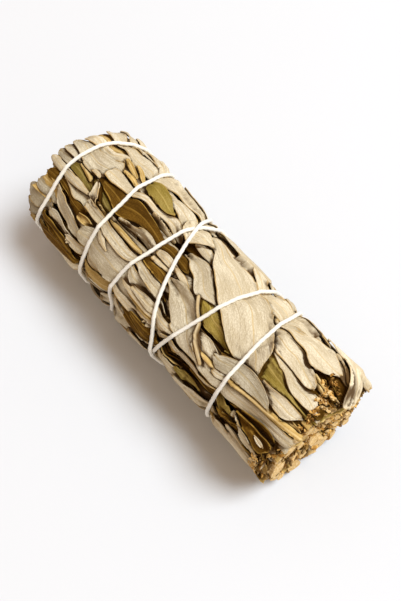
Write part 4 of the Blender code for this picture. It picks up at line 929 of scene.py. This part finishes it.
    ("sprig_1", "paleLeaf", [(7, 17.5), (11, 14), (15, 13)], [0.6, 0.9, 0.3], "easy", {"tint": -0.2}),
    ("sprig_1", "oliveLeaf", [(12, 18), (16, 14.5), (20.5, 14)], [0.7, 1.2, 0.3], "easy", {"tint": -0.4, "age": 0.9}),
    ("pale_leaf_27", "paleLeaf", [(12, 3), (18, 5), (22, 6), (28, 7)], [1.2, 1.6, 1.5, 0.6], "easy", {"rimHigh": 0.35, "age": 0.4}),
    ("sprig_1", "brownLeaf", [(13, 28.5), (18, 25.5), (22, 24), (26, 22)], [0.6, 1.2, 1.3, 0.5], "rolled", {"tint": 0.3}),
    ("pale_leaf_24", "paleLeaf", [(4, 31), (9, 31.5), (14, 31.5), (19, 32), (25, 35)], [0.8, 1.3, 1.2, 0.9, 0.2], "easy", {"rimHigh": 0.35, "tint": 0.1, "age": 0.1}),
    ("sprig_1", "oliveLeaf", [(25, 28), (28, 25), (31, 20)], [1.0, 1.9, 0.6], "crumpled", {"tint": 0.2, "age": 0.9}),
    ("sprig_1", "brownLeaf", [(28, 19), (31, 16), (35, 13)], [0.8, 1.2, 0.5], "crumpled", {"tint": -0.4}),
    ("sprig_8", "paleLeaf", [(27, 5.5), (33, 3), (38, 3), (42.6, 6)], [1.0, 1.8, 1.8, 0.8], "rolled", {"age": 0.5}),
    ("sprig_1", "brownLeaf", [(32.5, 36, 32.3, 40), (36, 38.5, 35.5, 43), (39, 40.5, 39, 46), (42, 42, 42, 46), (43.5, 42.5, 43.5, 45)],
     None, "easy", {"tint": -0.3, "age": 0.5, "folds": 2}),
    ("sprig_1", "brownLeaf", [(32, 33, 31.5, 36.5), (34.7, 31.7, 35, 39), (37.2, 31.2, 37.5, 40.8), (39, 30, 40, 41.8), (41, 28, 42.5, 42.6),
                              (43.3, 29, 44.2, 41)], None, "cupped", {"tint": 0.4, "arch": -0.9, "age": 0.0, "rimHigh": 0.3}),
    ("sprig_1", "paleLeaf", [(39.3, 36.7), (41, 35.5), (42.3, 34.7)], [0.3, 0.6, 0.4], "easy", {"tint": 0.6, "age": 0.0}),
    ("sprig_1", "brownLeaf", [(30, 20), (34, 17.5), (38, 16.5), (42.5, 15.5)], [0.6, 0.9, 0.9, 0.4], "folded", {"tint": 0.0}),
    ("sprig_1", "paleLeaf", [(30.5, 26, 30.5, 30.5), (33, 23.3, 33, 32), (35.4, 20.7, 35.5, 31), (37.7, 21.2, 38, 29.7), (40.1, 21, 40.3, 26.3),
                             (43, 19.3, 42.8, 21.7)], None, "easy", {"folds": 2, "tint": 0.1, "age": 0.0}),
    ("pale_leaf_26", "paleLeaf", [(31, 14), (36, 12), (40, 12), (43.2, 12.5)], [0.8, 1.4, 1.3, 0.5], "folded", {"tint": -0.1}),
]
line, halves = plainLeaf((-18, 271), (-3, 269), 9.0, "round")
keep(sheets, "resting_leaf", layLeaf("paleLeaf", line, halves, "easy", frill=0.0, tint=0.0, rimLow=0.0, rimHigh=0.0))
for cadNode, finish, line, halves, look, extras in coverLeaves:
    keep(sheets, cadNode, layLeaf(finish, line, halves, look, **extras))
print("top leaves are laid")

# ---------- both ends: folded leaf edges, cut stalks, and the crumbs on the cut face
ends = {
    "rings": [(4.6, 6), (6.4, 9), (8.2, 12), (9.9, 15), (11.4, 18), (12.7, 22), (13.9, 26)],    # radius, how many
    "depth": 7.0, "seed": 23,
}
cutStalks = [    # distance from the axis, around, how far along it ends, half width, half thickness
    (10.3, 356, 46.5, 2.3, 2.1), (6.2, 30, 47.5, 1.0, 1.0), (12.7, 45, 47.4, 1.1, 0.9), (12.0, 20, 46.2, 1.3, 0.8),
    (9.9, 68, 46.8, 1.3, 1.1), (6.2, 75, 47.5, 1.0, 1.0), (10.8, 86, 46.7, 1.3, 0.5), (12.2, 53, 46.6, 0.5, 1.2),
    (10.0, 118, 48.3, 1.7, 1.5), (6.2, 118, 47.7, 1.0, 1.0), (12.7, 132, 47.0, 1.1, 0.9), (12.9, 105, 46.8, 1.3, 0.8),
    (10.0, 166, 48.4, 1.7, 1.6), (6.2, 166, 48.1, 1.0, 1.0), (12.7, 179, 47.2, 1.1, 0.9), (12.9, 154, 47.0, 1.3, 0.8),
    (10.5, 203, 47.3, 1.0, 0.9), (6.2, 209, 48.2, 1.0, 1.0), (12.7, 220, 47.6, 1.1, 0.9), (9.5, 199, 47.2, 1.3, 0.8),
    (10.0, 254, 48.4, 1.7, 1.6), (6.2, 254, 47.8, 1.0, 1.0), (12.7, 269, 47.3, 1.1, 0.9), (12.9, 241, 46.6, 1.3, 0.8),
    (10.0, 301, 49.3, 1.7, 1.6), (6.2, 301, 47.7, 1.0, 1.0), (12.7, 312, 47.2, 1.1, 0.9), (12.9, 290, 47.2, 1.3, 0.8),
    (10.0, 30, 48.2, 1.7, 1.6), (6.2, 343, 48.3, 1.0, 1.0), (12.7, 325, 47.0, 1.1, 0.9), (6.5, 332, 47.0, 1.3, 0.8),
]
heartStems = [(1.35, 49.2), (1.25, 48.2), (1.4, 49.7)]     # radius, how far along each ends
heartOut = 1.85
stalkOut = 0.9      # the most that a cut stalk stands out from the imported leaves


def sprigAt(along, around):
    for number in range(1, sprig["count"] + 1):
        if (around - sprigEdge(number, along)) % 360 < (sprigEdge(number + 1, along) - sprigEdge(number, along)) % 360:
            return number
    return 1


def endSheet(finish, around, out, width, inner, outer, rng):
    blank = blanks["bit"]
    u = np.linspace(0, 1, blank["along"])[None, :]
    v = np.linspace(-1, 1, blank["across"])[:, None]
    fold = rng.choice((-1, 1)) * rng.uniform(0.1, 0.9)
    across = v * width / 2
    ragged = 0.35 * ripple(across, 0, 2.5, rng, 4) + rng.uniform(-0.4, 0.4) * v
    along = inner + (outer - inner) * u + ragged * u * np.sign(outer - inner)
    radius = out + fold * (1 - np.abs(v)) + 0.22 * ripple(across, u * 3, 2.2, rng, 4)
    radius = radius + rng.uniform(-0.7, 0.7) * v + rng.uniform(-0.5, 0.4) * u ** 2
    turned = around + np.degrees(across / out) * (1 - rng.uniform(0, 0.35) * u)
    if outer < inner:
        along, radius, turned = along[::-1], radius[::-1], turned[::-1]
    points = spot((along + 0 * radius).ravel(), turned.ravel(), radius.ravel())
    style = {"tint": rng.uniform(-0.5, 0.6), "age": rng.uniform(0.2, 1.0)}
    return newSheet("bit", finish, points, along + 0 * v + rng.uniform(0, 400), across + 0 * u, style)


def farFace(around, out):
    return farEnd(around)


endRng = random.Random(ends["seed"])
for out, count in ends["rings"]:
    for i in range(count):
        for end, reach in ((faceEnd, 1), (farFace, -1)):
            around = 360 * (i + endRng.uniform(0, 0.8)) / count
            outer = float(end(around, out)) + reach * endRng.uniform(-1.4, 0.3)
            inner = outer - reach * ends["depth"]
            finish = endRng.choice(("paleLeaf", "strawLeaf", "strawLeaf", "brownLeaf"))
            sheet = endSheet(finish, around, out + endRng.uniform(-0.5, 0.5), endRng.uniform(2.2, 5.0), inner, outer, endRng)
            keep(sheets, f"sprig_{sprigAt(0, around)}", sheet)


def makeStalkBlank():
    deselect()
    bpy.ops.mesh.primitive_cylinder_add(vertices=14, radius=1, depth=2)
    obj = bpy.context.object
    obj.data.materials.append(finishes["dryStem"])
    obj.data.materials.append(finishes["stemPith"])
    for side in (1, -1):
        bpy.ops.object.mode_set(mode="OBJECT")
        for face in obj.data.polygons:
            face.select = face.normal.z * side > 0.9
        for edge in obj.data.edges:
            edge.select = False
        bpy.ops.object.mode_set(mode="EDIT")
        bpy.ops.mesh.select_mode(type="FACE")
        bpy.ops.mesh.inset(thickness=0.24)
        obj.active_material_index = 1
        bpy.ops.object.material_slot_assign()
        bpy.ops.mesh.inset(thickness=0.3, depth=-0.05)
    bpy.ops.object.mode_set(mode="OBJECT")
    obj.hide_render = True
    return obj


stalkBlank = makeStalkBlank()


def addStalk(name, out, around, start, end, halfWide, halfThick, rng, squareness=0.35):
    obj = stalkBlank.copy()
    obj.data = stalkBlank.data.copy()
    obj.name = name
    obj.hide_render = False
    bpy.context.scene.collection.objects.link(obj)
    place = np.zeros(3 * len(obj.data.vertices))
    obj.data.vertices.foreach_get("co", place)
    x, y, z = place.reshape(-1, 3).T
    turn = np.arctan2(y, x)
    bulge = 1 + 0.10 * np.cos(4 * turn + rng.uniform(0, 6)) * squareness / 0.35 + 0.05 * np.cos(3 * turn + rng.uniform(0, 6))
    slant = rng.uniform(-0.4, 0.4) * x + rng.uniform(-0.3, 0.3) * y
    along = start + (z + 1) / 2 * (end - start) + slant * (z > 0)
    outward, across = spot(0, around, 1.0), spot(0, around + 90, 1.0)
    points = (spot(along, around, out) + (x * bulge * halfWide)[:, None] * across
              + (y * bulge * halfThick)[:, None] * outward)
    obj.data.vertices.foreach_set("co", ((points + bundle["axis"]) * mm).ravel())
    activate(obj)
    bpy.ops.object.mode_set(mode="EDIT")
    bpy.ops.mesh.select_all(action="SELECT")
    bpy.ops.mesh.normals_make_consistent(inside=False)
    bpy.ops.object.mode_set(mode="OBJECT")
    return obj


for out, around, end, halfWide, halfThick in cutStalks:
    keep(solids, f"sprig_{sprigAt(43.5, around)}",
         addStalk("cutStalk", out, around, 39.5, min(end, float(faceEnd(around, out)) + stalkOut), halfWide, halfThick, endRng))
for i, (radius, end) in enumerate(heartStems):
    name = f"heart_stem_{i + 1}"
    keep(solids, name, addStalk("heartStem", heartOut, 30 + 120 * i, sprig["coreFar"] - 1, end, radius, radius, endRng))


def makeCrumbBlank():
    deselect()
    bpy.ops.mesh.primitive_cube_add(size=2)
    obj = bpy.context.object
    bpy.ops.object.mode_set(mode="EDIT")
    bpy.ops.mesh.select_all(action="SELECT")
    bpy.ops.mesh.subdivide(number_cuts=1, smoothness=0.7)
    bpy.ops.object.mode_set(mode="OBJECT")
    obj.hide_render = True
    return obj


crumbs = {"count": 1500, "size": (0.2, 0.5), "big": 0.12, "bigSize": (0.55, 0.85), "reach": 15.6, "depth": (-1.9, 0.5), "seed": 5}
crumbBlank = makeCrumbBlank()


def addCrumb(finish, along, around, out, size, rng):
    obj = crumbBlank.copy()
    obj.data = crumbBlank.data.copy()
    obj.hide_render = False
    bpy.context.scene.collection.objects.link(obj)
    place = np.zeros(3 * len(obj.data.vertices))
    obj.data.vertices.foreach_get("co", place)
    place = place.reshape(-1, 3)
    uneven = np.array([[rng.uniform(-0.22, 0.22) for _ in range(3)] for _ in place])
    place = (place + uneven) * (size, size * rng.uniform(0.35, 0.8), size * rng.uniform(0.12, 0.35))
    place[:, 2] += rng.uniform(-0.4, 0.4) / size * place[:, 0] ** 2
    a, b, c = (rng.uniform(0, math.tau) for _ in range(3))
    turnZ = np.array(((math.cos(a), -math.sin(a), 0), (math.sin(a), math.cos(a), 0), (0, 0, 1)))
    turnY = np.array(((math.cos(b), 0, math.sin(b)), (0, 1, 0), (-math.sin(b), 0, math.cos(b))))
    turnX = np.array(((1, 0, 0), (0, math.cos(c), -math.sin(c)), (0, math.sin(c), math.cos(c))))
    points = place @ (turnZ @ turnY @ turnX).T + spot(along, around, out)
    obj.data.vertices.foreach_set("co", ((points + bundle["axis"]) * mm).ravel())
    obj.data.materials.append(finishes[finish])
    return obj


cutEdges = [    # leaf edges that cross the cut face: around and distance from the axis, how far along they end
    ("oliveLeaf", ((77, 15.5), (92, 13.0), (112, 11.2), (146, 10.6)), 47.0),
    ("strawLeaf", ((70, 15.5), (86, 12.0), (110, 10.0), (150, 9.2)), 46.8),
    ("brownLeaf", ((80, 16.2), (98, 13.9), (120, 12.2), (150, 12.0)), 47.0),
    ("paleLeaf", ((40, 14.5), (56, 11.0), (75, 9.5)), 46.6), ("strawLeaf", ((25, 13.5), (35, 9.5), (60, 7.0)), 46.4),
]
curls = {"count": 90, "length": (1.6, 4.5), "bend": 1.3, "depth": 3.0, "stand": (-0.9, 0.5), "reach": 14.0}


def addEdge(finish, path, end, rng):
    blank = blanks["bit"]
    share = np.linspace(0, 1, blank["along"])
    travelled = np.concatenate([[0], np.cumsum(np.linalg.norm(np.diff(path, axis=0), axis=1))])
    y, z = (throughPoints(travelled, path[:, i], share * travelled[-1]) for i in (0, 1))
    depth = np.linspace(0, 1, blank["across"])[:, None]
    ragged = 0.25 * ripple(share * travelled[-1], 0, 2.0, rng, 3)
    along = end + ragged * (1 - depth) - curls["depth"] * depth
    spreadOut = 1 + 0.04 * (1 - depth) * rng.uniform(-1, 1)
    points = np.stack([along, y * spreadOut, z * spreadOut], axis=-1).reshape(-1, 3)
    style = {"tint": rng.uniform(-0.2, 1.0), "age": rng.uniform(0.0, 0.7)}
    return newSheet("bit", finish, points, share * travelled[-1] + 0 * depth, 0.3 + curls["depth"] * depth + 0 * share, style)


curlRng = random.Random(19)
for finish, places, end in cutEdges:
    path = np.array([spot(0, around, out)[1:] for around, out in places])
    keep(sheets, f"sprig_{sprigAt(46, places[0][0])}", addEdge(finish, path, end, curlRng))
for _ in range(curls["count"]):
    out, around = curls["reach"] * math.sqrt(curlRng.uniform(0.02, 1)), curlRng.uniform(0, 360)
    heading, bend = curlRng.uniform(0, math.tau), curlRng.uniform(-curls["bend"], curls["bend"])
    place, path = spot(0, around, out)[1:], []
    step = curlRng.uniform(*curls["length"]) / 4
    for _ in range(5):
        path.append(place)
        place = place + step * np.array((math.cos(heading), math.sin(heading)))
        heading += bend
    if max(np.linalg.norm(point) for point in path) < curls["reach"] + 1:
        end = float(faceEnd(around, out)) + curlRng.uniform(*curls["stand"])
        finish = curlRng.choice(("strawLeaf", "strawLeaf", "paleLeaf", "brownLeaf"))
        keep(sheets, f"sprig_{sprigAt(46, around)}", addEdge(finish, np.array(path), end, curlRng))


def underStalk(around, out):
    for stalkOut, stalkAround, _, halfWide, halfThick in cutStalks:
        apart = np.linalg.norm(spot(0, around, out) - spot(0, stalkAround, stalkOut))
        if halfWide > 1.25 and apart < 0.9 * halfThick + 0.2:
            return True
    return False


crumbRng = random.Random(crumbs["seed"])
for i in range(crumbs["count"]):
    out = crumbs["reach"] * math.sqrt(crumbRng.uniform(0.02, 1))
    around = crumbRng.uniform(0, 360)
    along = float(faceEnd(around, out)) + crumbRng.uniform(*crumbs["depth"]) - (2 if underStalk(around, out) else 0)
    finish = crumbRng.choice(("chaff", "chaff", "chaff", "stemPith", "dryStem", "oldStem"))
    size = crumbRng.uniform(*crumbs["bigSize" if crumbRng.random() < crumbs["big"] else "size"])
    keep(solids, "cutChaff", addCrumb(finish, along, around, out, size, crumbRng))
looseChaff = [    # crumbs lying on the leaves by the cut end: along, around, how many, finishes
    ((42.8, 46.4), (90, 101), 110, ("chaff", "stemPith")), ((40.5, 45.0), (102, 116), 45, ("chaff", "oldStem")),
    ((41.2, 43.2), (4, 22), 70, ("stemPith", "chaff")), ((44.5, 46.4), (66, 90), 60, ("chaff", "oldStem")),
]
for stretch, arc, count, kinds in looseChaff:
    for _ in range(count):
        along, around = crumbRng.uniform(*stretch), crumbRng.uniform(*arc)
        out = float(top[pileCell(along, around)]) + crumbRng.uniform(0.0, 0.5)
        crumb = addCrumb(crumbRng.choice(kinds), along, around, out, crumbRng.uniform(0.25, 0.55), crumbRng)
        keep(solids, "cutChaff", crumb)
print("ends are filled")

# ---------- one piece for each CAD node: joined, given its thickness, given painted shade in its gaps, pressed under the string
nearTop = spread(top, 2, 1)
wideTop = blur(spread(top, 5, 4), 2, 2)
# painted shade: points deep under the leaves above them, or deep in the cut and far ends, are darkened toward the shade
# colour; sink also pushes buried points in
gaps = {"from": 0.30, "to": 0.95, "wideFrom": 1.8, "wideTo": 4.0, "dark": 0.93, "wideDark": 0.7, "sink": 0.45, "endDepth": 2.0, "near": 0.2, "far": 0.3, "inner": 13.0, "outer": 14.5}


# the whole pile is brought to the bundle's real girth, evenly all over
inBundle = np.clip(np.arange(pileRows), *pileCell(np.array((-47.0, 44.0)), np.zeros(2))[0])
girth = bundleRadius(bundle["outerRadius"], gridAlong, gridAround) / blur(top[inBundle], 20, 18)


def sample(grid, along, around):
    row = np.clip((along + pile["reach"]) / pile["step"], 0, pileRows - 1.001)
    column = (around / pile["turn"]) % pileColumns
    i, j = row.astype(int), column.astype(int)
    a, b = row - i, column - j
    nextJ = (j + 1) % pileColumns
    return ((grid[i, j % pileColumns] * (1 - b) + grid[i, nextJ] * b) * (1 - a)
            + (grid[i + 1, j % pileColumns] * (1 - b) + grid[i + 1, nextJ] * b) * a)


def evened(along, around, radius):
    proud = radius - bundleRadius(bundle["outerRadius"], along, around)
    return radius - np.where(proud > 0, proud - bundle["proud"] * np.tanh(proud / bundle["proud"]), 0)


def join(objects):
    activate(objects[0])
    for obj in objects:
        obj.select_set(True)
    bpy.ops.object.join()
    return bpy.context.object


def settle(obj):
    place = np.zeros(3 * len(obj.data.vertices))
    obj.data.vertices.foreach_get("co", place)
    points = place.reshape(-1, 3) / mm - bundle["axis"]
    around = np.degrees(np.arctan2(points[:, 2], -points[:, 1])) % 360
    radius = np.hypot(points[:, 1], points[:, 2])
    # painted shade: the further a point lies under the pile top nearby, the darker it is painted
    buried = np.clip((sample(nearTop, points[:, 0], around) - radius - gaps["from"])
                     / (gaps["to"] - gaps["from"]), 0, 1)
    deep = np.clip((sample(wideTop, points[:, 0], around) - radius - gaps["wideFrom"])
                   / (gaps["wideTo"] - gaps["wideFrom"]), 0, 1)
    buried = 1 - (1 - buried) * (1 - gaps["wideDark"] * deep)
    # painted shade in the cut face and the far end, darker the further in
    inCut = np.clip((faceEnd(around, radius) + gaps["near"] - points[:, 0]) / gaps["endDepth"], 0, 1)
    inFar = np.clip((points[:, 0] - farEnd(around) + gaps["far"]) / gaps["endDepth"], 0, 1)
    inFace = np.clip((gaps["outer"] - radius) / (gaps["outer"] - gaps["inner"]), 0, 1)
    crevice = inFace * np.minimum(inCut, inFar) + (1 - inFace) * buried
    inBody = np.clip((radius - gaps["outer"]) / 2, 0, 1)
    marks = obj.data.attributes.get("crevice") or obj.data.attributes.new("crevice", "FLOAT", "POINT")
    marks.data.foreach_set("value", (gaps["dark"] * crevice).astype(np.float32))
    pressed = evened(points[:, 0], around, radius * sample(girth, points[:, 0], around)) - gaps["sink"] * buried * inBody
    pressed = pressed - sample(dents, points[:, 0], around) * np.clip((radius - 8) / 5, 0, 1)
    points = spot(points[:, 0], around, pressed) + bundle["axis"]
    points[:, 2] = np.maximum(points[:, 2], 0.0)
    obj.data.vertices.foreach_set("co", (points * mm).ravel())


def finishPiece(cadNode):
    parts = []
    if cadNode in sheets:
        joined = join(sheets[cadNode])
        thickness = joined.modifiers.new("thickness", "SOLIDIFY")
        thickness.thickness = bundle["sheet"] * mm
        thickness.offset = 1
        activate(joined)
        bpy.ops.object.modifier_apply(modifier="thickness")
        parts.append(joined)
    parts += solids.get(cadNode, [])
    obj = join(parts) if len(parts) > 1 else parts[0]
    settle(obj)
    activate(obj)
    bpy.ops.object.shade_smooth_by_angle(angle=math.radians(50))
    obj.name = "".join(word if i == 0 else word.capitalize() for i, word in enumerate(cadNode.split("_")))
    obj.data.name = obj.name
    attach(obj, "root")
    if cadNode in frame["nodes"]:
        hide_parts(cadNode)
    return obj


for cadNode in sorted(set(sheets) | set(solids)):
    finishPiece(cadNode)
for blank in [stalkBlank, crumbBlank] + [blank["obj"] for blank in blanks.values()]:
    bpy.data.objects.remove(blank)
print("leaves are pressed")

# ---------- the string, twisted from three plies, drawn tight over the leaves and over itself
stringReach = spread(evened(gridAlong, gridAround, top * girth) - dents, 1, 1)


def tighten(needed, step):
    radius = needed.copy()
    shrink = math.cos(math.radians(step))
    for _ in range(3500):
        radius[1:-1] = np.maximum(needed[1:-1], (radius[:-2] + radius[2:]) / 2 * shrink)
    return radius


def stringPath():
    first, last = stringRoute[0, 0] + 2, stringRoute[-1, 0] - 2
    turned = np.linspace(first, last, int((last - first) / string["step"]) + 1)
    along = stringAlong(turned)
    flat = spot(along, turned, np.full(turned.shape, bundle["faceRadius"]))
    needed = stringReach[pileCell(along, turned)] + string["radius"] * 0.9
    over = 2 * string["radius"] * 0.97
    halfTurn = int(180 / string["step"])
    for _ in range(3):                       # a later turn lies over an earlier one
        radius = tighten(needed, string["step"])
        for i in range(halfTurn, len(turned)):
            apart = np.linalg.norm(flat[: i - halfTurn + 1] - flat[i], axis=1)
            j = int(apart.argmin())
            if apart[j] < 2 * over:
                share = max(0.0, apart[j] - 0.5 * over) / (1.5 * over)
                needed[i] = max(needed[i], radius[j] + over * math.cos(share * math.pi / 2))
    return spot(along, turned, tighten(needed, string["step"]))


def twistedTube(name, path, radius, taper=None):
    sides = string["sides"]
    ahead = np.gradient(path, axis=0)
    ahead /= np.linalg.norm(ahead, axis=1)[:, None]
    out = path * (0, 1, 1)
    out = out - ahead * np.sum(out * ahead, axis=1)[:, None]
    out /= np.linalg.norm(out, axis=1)[:, None]
    across = np.cross(ahead, out)
    travelled = np.concatenate([[0], np.cumsum(np.linalg.norm(np.diff(path, axis=0), axis=1))])
    turn = math.tau * np.arange(sides) / sides
    lobes = np.cos(string["plies"] * (turn[None, :] - string["twistPerMm"] * travelled[:, None]))
    size = (radius + string["plyDepth"] * lobes) * (1 if taper is None else taper[:, None])
    points = (path[:, None] + (size * np.cos(turn))[..., None] * out[:, None]
              + (size * np.sin(turn))[..., None] * across[:, None]).reshape(-1, 3)
    faces = []
    for i in range(len(path) - 1):
        for k in range(sides):
            a, b = i * sides + k, i * sides + (k + 1) % sides
            faces.append((a, b, b + sides, a + sides))
    faces.append(tuple(reversed(range(sides))))
    faces.append(tuple(range((len(path) - 1) * sides, len(path) * sides)))
    mesh = bpy.data.meshes.new(name)
    mesh.from_pydata(((points + bundle["axis"]) * mm).tolist(), [], faces)
    uvs = mesh.uv_layers.new(name="twist")
    values = []
    for i in range(len(path) - 1):
        for k in range(sides):
            for row, column in ((i, k), (i, k + 1), (i + 1, k + 1), (i + 1, k)):
                winding = math.tau * column / sides - string["twistPerMm"] * travelled[row]
                values += [travelled[row], winding * radius * 1.2]
    values += [0.0] * (4 * sides)
    uvs.data.foreach_set("uv", values)
    obj = bpy.data.objects.new(name, mesh)
    bpy.context.scene.collection.objects.link(obj)
    mesh.materials.append(finishes["cottonString"])
    return obj


def addString():
    path = stringPath()
    parts = [twistedTube("cottonString", path, string["radius"])]
    centre = (path[0] + path[-1]) / 2
    outward = centre * (0, 1, 1) / np.linalg.norm(centre[1:])
    centre = centre + 0.5 * outward
    acrossBundle = np.cross((1.0, 0, 0), outward)
    t = np.linspace(0, math.tau, 90)
    loop = np.stack([np.sin(t) + 2 * np.sin(2 * t), np.cos(t) - 2 * np.cos(2 * t), -np.sin(3 * t)], axis=1) * (0.55, 0.62, 0.5)
    knotPath = centre + loop[:, :1] * np.array((1.0, 0, 0)) + loop[:, 1:2] * acrossBundle + (loop[:, 2:] + 0.35) * outward
    parts.append(twistedTube("knot", knotPath, string["radius"] * 0.93))
    for direction, lean in ((1, 1.1), (-1, -0.8)):
        share = np.linspace(0, 1, 26)
        along = centre[0] + direction * string["tail"] * share
        turned = string["knotAround"] + lean * string["tail"] * share + 2.5 * np.sin(3 * share)
        radius = stringReach[pileCell(along, turned)] + string["radius"] * 0.9
        for _ in range(30):
            radius[1:-1] = np.maximum(radius[1:-1], (radius[:-2] + radius[2:]) / 2)
        radius[0] = np.linalg.norm(centre[1:])
        taper = 1 + 0.35 * np.clip((share - 0.85) / 0.15, 0, 1)
        parts.append(twistedTube("tail", spot(along, turned, radius), string["radius"], taper))
    obj = join(parts)
    obj.name = "cottonString"
    place = np.zeros(3 * len(obj.data.vertices))
    obj.data.vertices.foreach_get("co", place)
    place[2::3] = np.maximum(place[2::3], 0.0)
    obj.data.vertices.foreach_set("co", place)
    activate(obj)
    bpy.ops.object.shade_smooth()
    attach(obj, "root")
    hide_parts("string")


addString()
print("string is wound")

total = sum(len(p.vertices) - 2 for o in bpy.data.objects if o.type == "MESH" and "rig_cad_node" not in o
            for p in o.data.polygons)
print("triangles", total)
